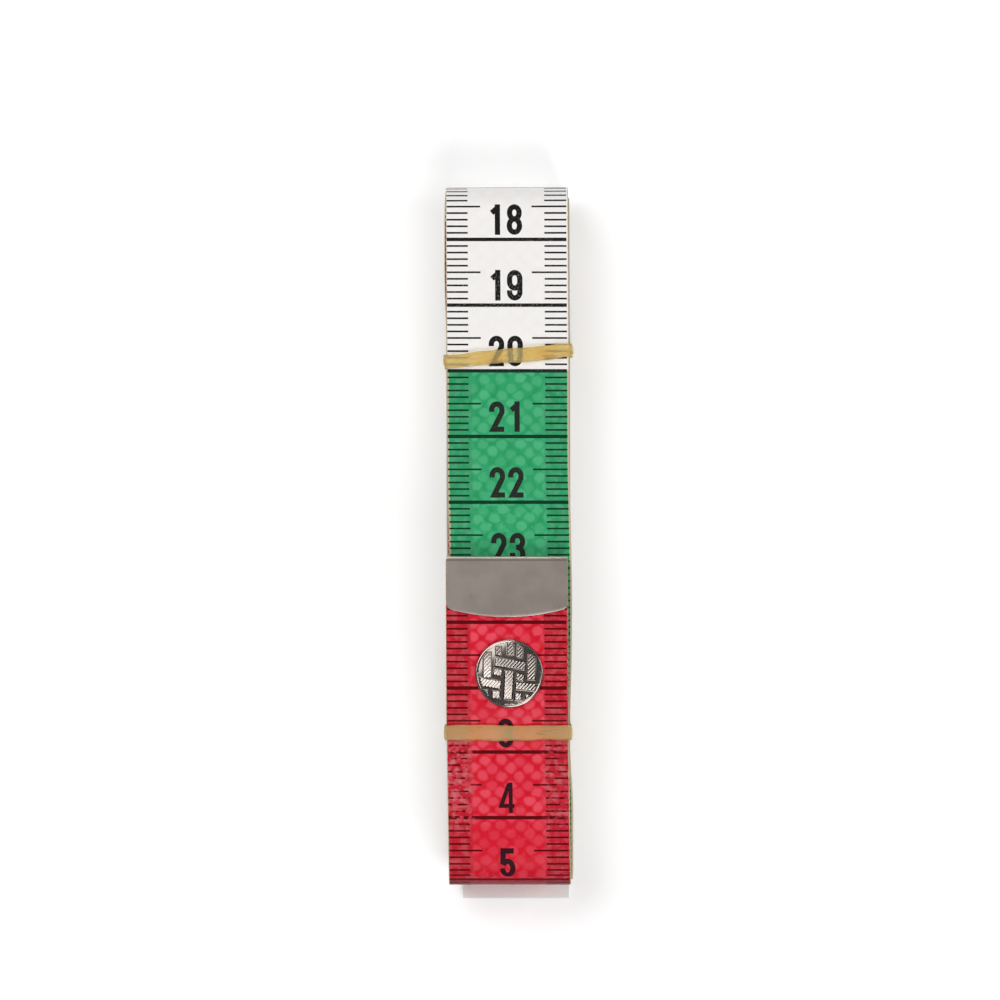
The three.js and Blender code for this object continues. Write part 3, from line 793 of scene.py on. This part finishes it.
TOP = bowl(0.765, 0.235, 180, 0)
SIX = [
    (bowl(0.365, 0.245, 180, 0) + bowl(0.24, 0.24, 0, -180), True),
    ([(-1, 0.3)] + TOP + [(1, 0.7)], False),
]
NUMERAL_SHARES = {
    "0": [(TOP + bowl(0.235, 0.235, 0, -180)[:-1], True)],
    "1": [
        ([(0.32, -CAP_SHARE), (0.32, 1 + CAP_SHARE)], False),
        ([(0.32, 0.96), (-0.8, 0.76)], False),
    ],
    "2": [([(-1, 0.69)] + TOP + [(0.97, 0.66), (-0.7, 0), (1.42, 0)], False)],
    "3": [
        ([(-1, 0.7)] + TOP + bowl(0.76, 0.235, 0, -90)[1:] + [(-0.3, 0.525)], False),
        ([(-0.3, 0.525)] + bowl(0.2625, 0.2625, 90, -180) + [(-1, 0.31)], False),
    ],
    "4": [
        ([(0.78, -CAP_SHARE), (0.78, 1 + CAP_SHARE)], False),
        ([(0.5, 1.06), (-1.1, 0.18), (1.5, 0.18)], False),
    ],
    "5": [([(1.2, 1), (-0.85, 1), (-0.93, 0.47)], False), (bowl(0.3, 0.3, 152, -180), False)],
    "6": SIX,
    "7": [([(-1.4, 1), (0.85, 1), (0.0, 0.45), (-0.2, -CAP_SHARE)], False)],
    "8": [
        (bowl(0.76, 0.24, 180, -180, 0.93)[:-1], True),
        (bowl(0.26, 0.26, 180, -180)[:-1], True),
    ],
    "9": [([(-x, 1 - y) for x, y in stroke], closed) for stroke, closed in SIX],
}


# %% Strokes to slabs
def stroke_slab(points, closed, width):
    bm = bmesh.new()
    base = half_tape - INK_SUNK
    verts = [bm.verts.new((x * NUMERAL_HALF, NUMERAL_FOOT + y * NUMERAL_RISE, base))
             for x, y in points]
    pairs = list(zip(verts, verts[1:])) + ([(verts[-1], verts[0])] if closed else [])
    for pair in pairs:
        bm.edges.new(pair)
    bmesh.ops.remove_doubles(bm, verts=bm.verts, dist=STROKE / 100)
    raised = bmesh.ops.extrude_edge_only(bm, edges=bm.edges[:])["geom"]
    tops = only(bmesh.types.BMVert, raised)
    bmesh.ops.translate(bm, verts=tops, vec=(0, 0, INK_SUNK + INK_PROUD))
    made = new_object("stroke", bm)
    modified(made, "SOLIDIFY", thickness=width, offset=0, use_even_offset=True)
    return face_outwards(made)


def numeral_mesh(strokes, width):
    """The strokes of one numeral joined, and cut at the rows of the cloth."""
    slabs = [stroke_slab(*stroke, width) for stroke in strokes]
    for slab in slabs[1:]:
        modified(slabs[0], "BOOLEAN", operation="UNION", solver="EXACT", object=slab)
    mesh = slabs[0].data
    for slab in slabs:
        bpy.data.objects.remove(slab)
    bm = bmesh.new()
    bm.from_mesh(mesh)
    for step in range(1, round(CENTIMETRE / ROW)):
        cut(bm, (0, step * ROW, 0), (0, 1, 0))
    bmesh.ops.triangulate(bm, faces=bm.faces)
    bm.to_mesh(mesh)
    bm.free()
    return mesh


numerals = {
    digit: numeral_mesh(strokes, LIGHT_STROKES.get(digit, STROKE))
    for digit, strokes in NUMERAL_SHARES.items()
}
print("faces of the numerals:", {digit: len(mesh.polygons) for digit, mesh in numerals.items()})


# %% Print of a stretch of tape
def repeated_marks(first, last):
    """The marks from one centimetre to another, both counted from the print's zero."""
    made = new_object("marks", centimetre_of_marks())
    made.data.transform(Matrix.Translation((0, -first * CENTIMETRE, 0)))
    return modified(made, "ARRAY", use_relative_offset=False, use_constant_offset=True,
                    constant_offset_displace=(0, -CENTIMETRE, 0), count=last - first)


def flat_print(start, end):
    """Marks and numbers between two distances from the print's zero, as on the flat tape."""
    first, last = int(start // CENTIMETRE), math.ceil(end / CENTIMETRE)
    marks = repeated_marks(first, last)
    bm = bmesh.new()
    bm.from_mesh(marks.data)
    bpy.data.objects.remove(marks)
    for number in range(first + 1, last + 1):
        text = str(number)
        for place, digit in enumerate(text):
            shift = NUMERAL_CENTRE + (place - (len(text) - 1) / 2) * NUMERAL_ADVANCE
            copy = numerals[digit].copy()
            copy.transform(Matrix.Translation((shift, -number * CENTIMETRE, 0)))
            bm.from_mesh(copy)
            bpy.data.meshes.remove(copy)
    for place, side in ((start, 1), (end, -1)):
        rim = cut(bm, (0, -place, 0), (0, side, 0), clear_outer=True)
        bmesh.ops.holes_fill(bm, edges=only(bmesh.types.BMEdge, rim))
    return bm


# %% [markdown]
# Ink is tinted by its ground, and thin where the weave kept it from taking. Both sides carry the
# same print, the back from the other end, so the back's print is the front's turned over.

# %% Ink
INK_SPECULAR = 0.06
NUMERAL_ZONE = 3.65
LINE_ZONE = 0.45
INKS = {  # of the numbers, and of the lines and marks
    "red": (as_seen(48, 20, 29), as_seen(92, 2, 12)),
    "white": (as_seen(26, 23, 23), as_seen(30, 27, 27)),
    "green": (as_seen(40, 41, 37), as_seen(6, 58, 36)),
    "yellow": (as_seen(34, 30, 22), as_seen(48, 36, 14)),
}


def ink_on(name, ground, light):
    material, shader = new_finish(f"ink_on_{name}", 0.5)
    place, across, aside, along = tape_place(shader)
    at_edge = between(aside, NUMERAL_ZONE - 0.2, NUMERAL_ZONE + 0.2)
    to_line = maths("PINGPONG", along, CENTIMETRE / MM / 2)
    on_line = between(to_line, LINE_ZONE - 0.05, LINE_ZONE + 0.05, 1.0, 0.0)
    ink = mixed(maths("MAXIMUM", at_edge, on_line), *INKS[name])
    speck = between(noise(place, 3.2, 3.0), 0.5, 0.72)
    worn = between(noise(place, 0.05), 0.42, 0.62, 0.03, 0.14)
    colour = mixed(times(speck, worn), ink, ground)
    if name == "red":
        broken = between(noise(place, 1.3, 2.5), 0.44, 0.6, 0.0, 0.8)
        colour = mixed(times(broken, gripped(across, along)), colour, light)
    feed(shader, {"Base Color": colour, "Specular IOR Level": INK_SPECULAR})
    return material


ink_finishes = [ink_on(name, *look[:2]) for name, look in COLOURS.items()]


# %% The six prints
def printed(name, start, end, reverse):
    if reverse:
        bm = flat_print(TAPE_LENGTH - end, TAPE_LENGTH - start)
        turned_over = Matrix.Translation((0, -TAPE_LENGTH, 0)) @ Matrix.Rotation(math.pi, 4, "X")
        bmesh.ops.transform(bm, matrix=turned_over, verts=bm.verts)
    else:
        bm = flat_print(start, end)
    return report(wind(new_object(name, bm, ink_finishes)))


winding_prints, flap_prints, tip_prints = [
    [printed(f"{name}_print{side}", *stretch[:2], bool(side)) for side in ("", "_reverse")]
    for name, stretch in STRETCHES.items()
]

# %% [markdown]
# The rest of the tape stays wound, with its ink. The flap and its tip, each with its ink, keep the
# shape they were wound to, lifted over the button.

# %% The pieces of the tape, placed
CAP_FRONT = 9.2 * MM
for piece in (winding, *winding_prints):
    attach(piece, "winding")
for piece in (flap, *flap_prints):
    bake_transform(piece)
for piece in (tip, *tip_prints):
    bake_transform(piece)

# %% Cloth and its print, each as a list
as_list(winding_prints)
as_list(flap_prints)
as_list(tip_prints)

# %% [markdown]
# ## Metal
#
# All metal here is nickel-plated steel sheet. The end caps are satin, with faint rolling marks and
# a painted dark reflection line just below their fold. The snap is brighter, and its pressed
# hollows carry painted shade.

# %% Nickel
# Colour of the painted dark reflection line below the caps' fold.
PAINTED_REFLECTION_NICKEL = (0.26, 0.23, 0.2, 1)
# Colour of the painted shade in the button's hollows.
HOLLOW_SHADE_NICKEL = (0.1, 0.085, 0.075, 1)
LINE_SOFT = 0.06 * MM
RECESS = "recess"


def nickel(name, colour, roughness, grain_scale, reflection_line=None, hollow_shade=False):
    """Plated sheet with its grain and faint stains, a painted dark reflection line between two
    places up the tape, and painted shade in the hollows where it is pressed."""
    material, shader = new_finish(name, roughness, metallic=1.0)
    place = source(shader, "TexCoord")["Object"]
    grain = noise(place, grain_scale, 3.0)
    stain = between(noise(place, 260.0), 0.35, 0.7)
    plated = mixed(stain, colour, darkened(colour, 0.86))
    # Painted reflection: a dark line across the plate just below the fold.
    if reflection_line:
        up = add("SeparateXYZ", {0: place}).outputs["Y"]
        line = plateau(up, [at + soft for at in reflection_line for soft in (-LINE_SOFT, LINE_SOFT)])
        plated = mixed(times(line, 0.8), plated, PAINTED_REFLECTION_NICKEL)
    # Painted shade: the deeper a point lies below the bars, the darker it is.
    if hollow_shade:
        hollow = source(shader, "Attribute", attribute_name=RECESS)["Fac"]
        plated = mixed(between(hollow, 0.05, 0.75, 0.0, 0.66), plated, HOLLOW_SHADE_NICKEL)
    surface(shader, plated, grain, 0.12, 0.01)
    feed(shader, {"Roughness": maths("MULTIPLY_ADD", grain, 0.12, roughness - 0.06)})
    return material


# Where the painted dark reflection line lies, up the tape.
FOLD_REFLECTION_LINE = (zero_edge - 0.68 * MM, zero_edge - 0.42 * MM)
EVEN_GRAIN, ROLLED_GRAIN = (900, 900, 900), (6000, 700, 6000)
cap_nickel = nickel("cap_nickel", (0.545, 0.467, 0.42, 1), 0.3, ROLLED_GRAIN, FOLD_REFLECTION_LINE)
snap_nickel = nickel("snap_nickel", (0.39, 0.34, 0.31, 1), 0.12, EVEN_GRAIN)
button_nickel = nickel("button_nickel", (0.44, 0.385, 0.35, 1), 0.12, EVEN_GRAIN, hollow_shade=True)
spring_steel = nickel("spring_steel", (0.62, 0.62, 0.62, 1), 0.25, EVEN_GRAIN)

# %% [markdown]
# ## End caps
#
# A cap is a plate folded over the end of the tape. It is drawn flat round that end as one sheet: up
# the back, round two tight corners, and down the front to its bowed edge. The fold is a little
# uneven, as a pressed one is. Then it is laid on the tape's route, as the cloth was.

# %% Sizes of an end cap
CAP_SHEET = 0.25 * MM
CAP_LEVEL = 0.415 * MM
CAP_BACK = 6 * MM
CAP_SAG = 1.3 * MM
CAP_CORNER = 0.8 * MM
CAP_FOLD = 0.3 * MM
CAP_SOFT = 0.05 * MM
CAP_ROWS, CAP_CROWD = 28, 2.2  # rows crowd towards the fold
CAP_COLUMNS = 24
FOLD_STEPS = 5
FOLD_UNEVEN = 0.012 * MM
cap_half = (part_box("end_cap_outer")[1].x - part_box("end_cap_outer")[0].x) / 2


def front_end(across):
    """How far down the front plate reaches: bowed in the middle, rounded at its corners."""
    bow = CAP_SAG * (across / cap_half) ** 2
    into_corner = max(abs(across) - (cap_half - CAP_CORNER), 0)
    round_off = CAP_CORNER - math.sqrt(max(CAP_CORNER ** 2 - into_corner ** 2, 0))
    return CAP_FRONT - bow - round_off


def fold_lift(across):
    turns = across / MM
    slow = math.sin(2.3 * turns) * math.sin(0.9 * turns + 1)
    return FOLD_UNEVEN * (slow + 0.5 * math.sin(4.1 * turns))


def cap_columns():
    inner = np.linspace(-1, 1, CAP_COLUMNS + 1) * (cap_half - CAP_CORNER)
    right = inner[-1] + CAP_CORNER * np.sin(np.linspace(0, math.pi / 2, 7))[1:]
    return np.concatenate([-right[::-1], inner, right])


# %% A cap from its plate
def plate_point(across, step, fold):
    """Distance from the zero edge and height of one point of the plate, counted up its back."""
    if step < CAP_ROWS:
        back_end = CAP_BACK - (CAP_FRONT - CAP_SAG / 2 - front_end(across)) * 0.5
        return back_end + (CAP_FOLD - back_end) * step / CAP_ROWS, -CAP_LEVEL
    if step < CAP_ROWS + len(fold):
        distance, height = fold[step - CAP_ROWS]
        return distance, height + (fold_lift(across) if height > 0 else 0)
    share = ((step - CAP_ROWS - len(fold) + 1) / CAP_ROWS) ** CAP_CROWD
    distance = CAP_FOLD + (front_end(across) - CAP_FOLD) * share
    return distance, CAP_LEVEL + fold_lift(across) * math.exp(-(distance - CAP_FOLD) / MM)


def end_cap(name, turned=False):
    radius = CAP_FOLD - CAP_SHEET / 2
    fold = arc((CAP_FOLD, -CAP_LEVEL + radius), radius, 270, 180, FOLD_STEPS)
    fold += arc((CAP_FOLD, CAP_LEVEL - radius), radius, 180, 90, FOLD_STEPS)
    columns = cap_columns()
    wide, high = len(columns) - 1, len(fold) + 2 * CAP_ROWS - 1
    bm = bmesh.new()
    bmesh.ops.create_grid(bm, x_segments=wide, y_segments=high, size=0.5)
    for vert in bm.verts:
        across = columns[round((vert.co.x + 0.5) * wide)]
        distance, height = plate_point(across, round((vert.co.y + 0.5) * high), fold)
        vert.co = (across, -distance, height)
    made = new_object(name, bm, [cap_nickel])
    modified(made, "SOLIDIFY", thickness=CAP_SHEET, offset=0)
    modified(made, "BEVEL", width=CAP_SOFT, segments=2, limit_method="ANGLE",
             angle_limit=math.radians(50))
    points = points_of(made)
    if turned:
        points = np.column_stack([points[:, 0], -TAPE_LENGTH - points[:, 1], -points[:, 2]])
    move_points(made, wound(points))
    return smooth(face_outwards(made), 40)


outer_cap = end_cap("outer_end_cap")
inner_cap = end_cap("inner_end_cap", turned=True)
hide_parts("end_cap_outer")
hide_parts("end_cap_inner")
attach(outer_cap, "tip")
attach(inner_cap, "winding")

# %% [markdown]
# ## Snap button
#
# The visible cap is a thin dome pressed with a woven pattern: crossing bars covered in fine
# slanting grooves, inside a narrow rolled rim. It is a fine grid bent to a disc and lifted by a
# height that is worked out for every point. The depth of the hollows is kept as an attribute, for
# the painted shade in the finish.

# %% Bars of the pattern
BARS = [  # centre across and up, width across and length up in mm, turn in degrees
    (-3.35, 1.32, 1.28, 4.0, 0), (-1.63, 3.45, 0.95, 1.4, 0), (0.23, 3.85, 1.1, 2.2, 0),
    (1.67, 3.5, 0.95, 2.2, -4), (3.4, 1.0, 1.25, 3.9, -3), (-0.1, -1.75, 1.35, 4.4, -3),
    (0.15, 1.47, 4.65, 1.3, -8), (-3.1, -1.45, 3.7, 1.3, -10), (2.75, -2.0, 3.6, 1.15, -5),
    (-1.75, 0.2, 1.3, 1.05, -12), (1.67, -0.55, 1.2, 1.05, -12), (-2.0, -3.2, 1.2, 1.2, 0),
    (-3.55, -2.95, 0.7, 1.0, 0), (1.35, -3.5, 1.0, 1.15, -4), (2.9, -3.6, 0.9, 0.9, 0),
]
BAR_LIFT = 0.2
BAR_SLOPE = 0.2
BAR_SPREAD = 0.05
GROOVE_PITCH = 0.4
GROOVE_DEPTH = 0.095
GROOVE_STEEP = 2.4
GROOVE_START, GROOVE_EASE = 0.12, 0.1  # distance inside a bar's side where its grooves begin
DOME_RADIUS = 4.75
DOME_EASE, DOME_SUNK = 0.3, 0.06
RIM_RADIUS = 4.95
RIM_HEIGHT, RIM_SUNK = 0.16, 0.12
BUTTON_RADIUS = 5.15
BUTTON_SKIRT = 0.45
BUTTON_RISE = 0.5


def bar_depth(x, y, bar):
    """Distance from the nearest side of a bar, positive inside it."""
    centre_x, centre_y, width, length, turn = bar
    cos, sin = math.cos(math.radians(turn)), math.sin(math.radians(turn))
    across = (x - centre_x) * cos + (y - centre_y) * sin
    along = (y - centre_y) * cos - (x - centre_x) * sin
    return np.minimum(width / 2 - np.abs(across), length / 2 - np.abs(along)) + BAR_SPREAD


def button_relief(x, y):
    """Height of the pressed sheet, and how deep each point lies below the bars, from 0 to 1."""
    radius = np.hypot(x, y)
    depth = np.max([bar_depth(x, y, bar) for bar in BARS], axis=0)
    lift = BAR_LIFT * eased(depth / BAR_SLOPE)
    groove = eased(np.abs(((x - y) / math.sqrt(2) / GROOVE_PITCH) % 1 - 0.5) * GROOVE_STEEP)
    lift -= GROOVE_DEPTH * eased((depth - GROOVE_START) / GROOVE_EASE) * (1 - groove)
    recess = np.where(radius < DOME_RADIUS, 1 - lift / BAR_LIFT, 0)
    lift *= eased((DOME_RADIUS - radius) / DOME_EASE)
    dome = BUTTON_SKIRT + BUTTON_RISE * (1 - (radius / DOME_RADIUS) ** 2) + lift - DOME_SUNK
    over_rim = np.clip(1 - ((radius - RIM_RADIUS) / (BUTTON_RADIUS - RIM_RADIUS)) ** 2, 0, 1)
    rim = np.sqrt(over_rim) * RIM_HEIGHT + BUTTON_SKIRT - RIM_SUNK
    return np.where(radius < DOME_RADIUS, dome, rim), recess


# %% Button cap
BUTTON_CELLS = 180
SHELL = 0.25
INSIDE_TOP = 0.6
snap_low, snap_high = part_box("snap_cap")
snap_x, snap_y = (snap_low.x + snap_high.x) / 2, (snap_low.y + snap_high.y) / 2


def button_cap():
    bm = bmesh.new()
    bmesh.ops.create_grid(bm, x_segments=BUTTON_CELLS, y_segments=BUTTON_CELLS, size=1)
    square = np.array([vert.co[:2] for vert in bm.verts])
    x = square[:, 0] * np.sqrt(1 - square[:, 1] ** 2 / 2) * BUTTON_RADIUS
    y = square[:, 1] * np.sqrt(1 - square[:, 0] ** 2 / 2) * BUTTON_RADIUS
    height, recess = button_relief(x, y)
    recess_of = bm.verts.layers.float.new(RECESS)
    for vert, below, *place in zip(bm.verts[:], recess, x, y, height):
        vert.co = Vector(place) * MM
        vert[recess_of] = below
    edges = [edge for edge in bm.edges if edge.is_boundary]
    inner = (BUTTON_RADIUS - SHELL) / BUTTON_RADIUS
    for scale, height in ((1, 0), (inner, 0), (1, BUTTON_SKIRT - SHELL), (0.001, INSIDE_TOP)):
        made = bmesh.ops.extrude_edge_only(bm, edges=edges)["geom"]
        verts, edges = only(bmesh.types.BMVert, made), only(bmesh.types.BMEdge, made)
        for vert in verts:
            vert.co = (vert.co.x * scale, vert.co.y * scale, height * MM)
    bmesh.ops.pointmerge(bm, verts=verts, merge_co=(0, 0, INSIDE_TOP * MM))
    bmesh.ops.recalc_face_normals(bm, faces=bm.faces)
    bmesh.ops.translate(bm, verts=bm.verts, vec=(snap_x, snap_y, snap_low.z))
    return smooth(new_object("button_cap", bm, [button_nickel]), 75)


cap_of_button = button_cap()
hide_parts("snap_cap")
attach(cap_of_button, "button_flap")

# %% [markdown]
# ## The snap's hidden half
#
# Socket and stud are turned: each profile is spun once round and its edges are softened. The prong
# ring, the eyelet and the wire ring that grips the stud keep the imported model's shape.

# %% Turned parts
SPIN_STEPS = 72
SOFT_EDGE = 0.04 * MM
TINY = 0.001 * MM


def spun(bm, profile, axis, steps):
    """A closed profile spun once round the origin."""
    verts = [bm.verts.new(place) for place in profile]
    edges = [bm.edges.new(pair) for pair in zip(verts, verts[1:] + verts[:1])]
    bmesh.ops.spin(bm, geom=verts + edges, cent=(0, 0, 0), axis=axis, angle=math.tau, steps=steps,
                   use_merge=True, use_duplicate=False)


def turned(name, profile):
    """A profile of radius and height in millimetres, spun round the snap's axis."""
    bm = bmesh.new()
    spun(bm, [(radius * MM, 0, height * MM) for radius, height in profile], (0, 0, 1), SPIN_STEPS)
    bmesh.ops.remove_doubles(bm, verts=bm.verts, dist=TINY)
    bmesh.ops.dissolve_degenerate(bm, edges=bm.edges, dist=TINY)
    bmesh.ops.recalc_face_normals(bm, faces=bm.faces)
    corners = [edge for edge in bm.edges
               if len(edge.link_faces) == 2 and edge.calc_face_angle() > math.radians(40)]
    soften(bm, corners, SOFT_EDGE, 2)
    bmesh.ops.translate(bm, verts=bm.verts, vec=(snap_x, snap_y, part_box(f"snap_{name}")[0].z))
    return smooth(new_object(name, bm, [snap_nickel]), 50)


socket = turned("socket", [
    (1.95, 0), (4, 0), (4, 1.3), (3.85, 1.3), (3.85, 0.15), (2.35, 0.15), (2.35, 0.82),
    (1.95, 0.82), (1.95, 0.67), (2.2, 0.67), (2.2, 0.15), (1.95, 0.15),
])
stud = turned("stud", [
    (0, 1.39), (1.15, 1.39), (1.45, 1.186), (1.05, 0.8), (1.05, 0), (4, 0), (4, 0.3), (1.3, 0.3),
    (1.3, 0.8), (1.7, 1.186), (1.275, 1.64), (0, 1.64),
])
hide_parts("snap_socket")
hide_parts("snap_stud")
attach(socket, "button_flap")
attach(stud, "winding")

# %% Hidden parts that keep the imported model's shape
for node, finish in (("snap_prong_ring", snap_nickel), ("stud_eyelet", snap_nickel),
                     ("socket_spring", spring_steel)):
    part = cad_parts[node]
    part.data.materials.clear()
    part.data.materials.append(finish)
    smooth(part, 40)

# %% [markdown]
# ## Rubber bands
#
# Each band is soft tan rubber, translucent enough for the colours below to tint it. Its section is
# spun round and then laid on the bundle's outline, a rectangle with rounded corners, so it is one
# closed ring. It is stretched thinner along the sides, and its width and place vary a little, as
# old rubber's do.

# %% Rubber
RUBBER_CRACKS = (330, 1700, 500)


def rubber(name, base, light):
    material, shader = new_finish(name, 0.42)
    place = source(shader, "TexCoord")["Object"]
    cloud = between(noise(place, 320.0, 4.0), 0.35, 0.7)
    split = noise(place, RUBBER_CRACKS, 2.0)
    crack = times(between(split, 0.62, 0.7), 0.55)
    colour = mixed(crack, mixed(cloud, base, light), darkened(base, 0.55))
    surface(shader, colour, split, 0.5, 0.08, invert=True)
    feed(shader, {"Transmission Weight": 0.77, "IOR": 1.3})
    return material


band_rubber = rubber("band_rubber", as_seen(252, 226, 152), as_seen(254, 238, 180))

# %% Outline and section of a band
BAND_THICKNESS = 0.6 * MM
BAND_CORNER = 0.4 * MM
BAND_EDGE = 0.2 * MM
CORNER_STEPS = 6
SIDE_STEPS = 24
FRONT_STEPS = 60


def outline_points(half, height):
    """Points of a rounded rectangle and the directions out of it, once round."""
    points = []
    for corner, (side, up) in enumerate(((1, -1), (1, 1), (-1, 1), (-1, -1))):
        centre = np.array([side * (half - BAND_CORNER), up * (height / 2 - BAND_CORNER)])
        start = 90 * (corner - 1)
        for out in np.array(arc((0, 0), 1, start, start + 90, CORNER_STEPS)):
            points.append((centre + BAND_CORNER * out, out))
    full = []
    for (place, out), (ahead, out_ahead) in zip(points, points[1:] + points[:1]):
        steps = 1
        if np.allclose(out, out_ahead):
            steps = SIDE_STEPS if abs(out[0]) > 0.5 else FRONT_STEPS
        full += [(place + (ahead - place) * step / steps, out) for step in range(steps)]
    return full


def band_section(width):
    """The band's own thickness, its outer edges rounder than its inner ones."""
    half, edge, outer = width / 2, BAND_EDGE, BAND_THICKNESS
    section = [
        (-half + edge * 0.4, 0), (half - edge * 0.4, 0), (half, edge * 0.5),
        (half, outer - edge * 1.4), (half - edge * 0.45, outer - edge * 0.35),
        (half - edge * 1.4, outer),
    ]
    return section + [(-y, height) for y, height in section[:1:-1]]


# %% Ring round the bundle
SPUN_RADIUS = 10
SIDE_ROUND = 0.75
SIDE_SHARE = 0.5
SWELL = (0.04, 0.03)
STRAY = (0.05 * MM, 0.025 * MM)


def band(name, half, width, tilt_degrees, top_at, seed):
    low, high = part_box(name)
    centre_y = (low.y + high.y) / 2
    floor_level = low.z + BAND_THICKNESS
    usual_height = top_at(centre_y) - floor_level
    outline = outline_points(half, usual_height)
    count = len(outline)
    bm = bmesh.new()
    section = [(SPUN_RADIUS + height / MM, y / MM, 0) for y, height in band_section(width)]
    spun(bm, section, (0, -1, 0), count)
    for vert in bm.verts:
        share = (math.atan2(vert.co.z, vert.co.x) / math.tau) % 1
        (x, up), out = outline[round(share * count) % count]
        height = (math.hypot(vert.co.x, vert.co.z) - SPUN_RADIUS) * MM
        lap = share * math.tau
        swell = 1 + SWELL[0] * math.sin(3 * lap + seed) + SWELL[1] * math.sin(11 * lap + 2 * seed)
        stray = STRAY[0] * math.sin(5 * lap + seed) + STRAY[1] * math.sin(13 * lap - seed)
        outwards = min(max((abs(x + out[0] * height) - half) / BAND_THICKNESS, 0), 1)
        y = vert.co.y * MM * swell * math.sqrt(1 - SIDE_ROUND * outwards ** 2) + stray
        share_up = up / usual_height + 0.5
        z = floor_level + share_up * (top_at(centre_y + y) - floor_level)
        vert.co = (x + out[0] * height * SIDE_SHARE, y, z + out[1] * height)
    bmesh.ops.recalc_face_normals(bm, faces=bm.faces)
    bmesh.ops.rotate(bm, verts=bm.verts, cent=(0, 0, 0),
                     matrix=Matrix.Rotation(math.radians(tilt_degrees), 3, "Z"))
    bmesh.ops.translate(bm, verts=bm.verts, vec=(0, centre_y, 0))
    return smooth(new_object(f"{name}_soft", bm, [band_rubber]), 50)


# %% Two bands
LOWER_WIDTH, UPPER_WIDTH = 2.3 * MM, 2.1 * MM
SIDE_GAP = 0.2 * MM
LOWER_GAP, UPPER_GAP = 0.1 * MM, 0.16 * MM
UPPER_TILT = 5.2


def front_of_flap(y):
    return front_height_of(0) + flap_rise * bulge_share(y) + half_tape + LOWER_GAP


def front_of_layers(y):
    return front_height_of(1) + half_tape + UPPER_GAP


lean = math.radians(UPPER_TILT)
lower_half = tape_width / 2 + SIDE_GAP
upper_half = (lower_half + UPPER_WIDTH / 2 * math.sin(lean)) / math.cos(lean)
lower_band = band("rubber_band_lower", lower_half, LOWER_WIDTH, 0, front_of_flap, 0.4)
upper_band = band("rubber_band_upper", upper_half, UPPER_WIDTH, UPPER_TILT, front_of_layers, 2.1)
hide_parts("rubber_band_lower")
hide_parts("rubber_band_upper")
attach(lower_band, "band_lower")
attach(upper_band, "band_upper")

# %% [markdown]
# ## Card strip
#
# A narrow strip of white card lies behind the winding under the bands. Its end shows below the
# lower fold.

# %% Card strip
STRIP_WAVE = 0.04 * MM
STRIP_WAVES = (6.1 * MM, 15 * MM)
STRIP_EDGE = 0.04 * MM
STRIP_CUTS = 120


def card():
    material, shader = new_finish("strip_card", 0.75)
    fibre = noise(source(shader, "TexCoord")["Object"], 1800.0, 3.0)
    white = mixed(fibre, as_seen(245, 243, 241), as_seen(252, 251, 249))
    surface(shader, white, fibre, 0.2, 0.02)
    return material


def card_strip():
    low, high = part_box("backing_strip")
    bm = bmesh.new()
    bmesh.ops.create_cube(bm, size=1)
    bmesh.ops.scale(bm, verts=bm.verts, vec=high - low)
    soften(bm, bm.edges[:], STRIP_EDGE, 2)
    lengthwise = long_edges(bm, (high.y - low.y) / 2)
    bmesh.ops.subdivide_edges(bm, edges=lengthwise, cuts=STRIP_CUTS, use_grid_fill=True)
    bmesh.ops.translate(bm, verts=bm.verts, vec=(low + high) / 2)
    for vert in bm.verts:
        bend = math.sin(vert.co.y / STRIP_WAVES[0]) * math.sin(vert.co.y / STRIP_WAVES[1])
        vert.co.z += STRIP_WAVE * bend
    return smooth(new_object("card_strip", bm, [card()]), 50)


strip = card_strip()
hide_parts("backing_strip")
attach(strip, "strip")

# %% The pieces under each slot's name, printed
SLOTS = {
    "tape_white": (winding, *winding_prints),
    "tape_red": (flap, *flap_prints, tip, *tip_prints),
    "cap_nickel": (outer_cap, inner_cap),
    "snap_nickel": (cap_of_button, socket, stud),
    "band_rubber": (lower_band, upper_band),
    "strip_card": (strip,),
}
for slot, made in SLOTS.items():
    for piece in made:
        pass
print("slots:", {slot: [piece.name for piece in made] for slot, made in SLOTS.items()})
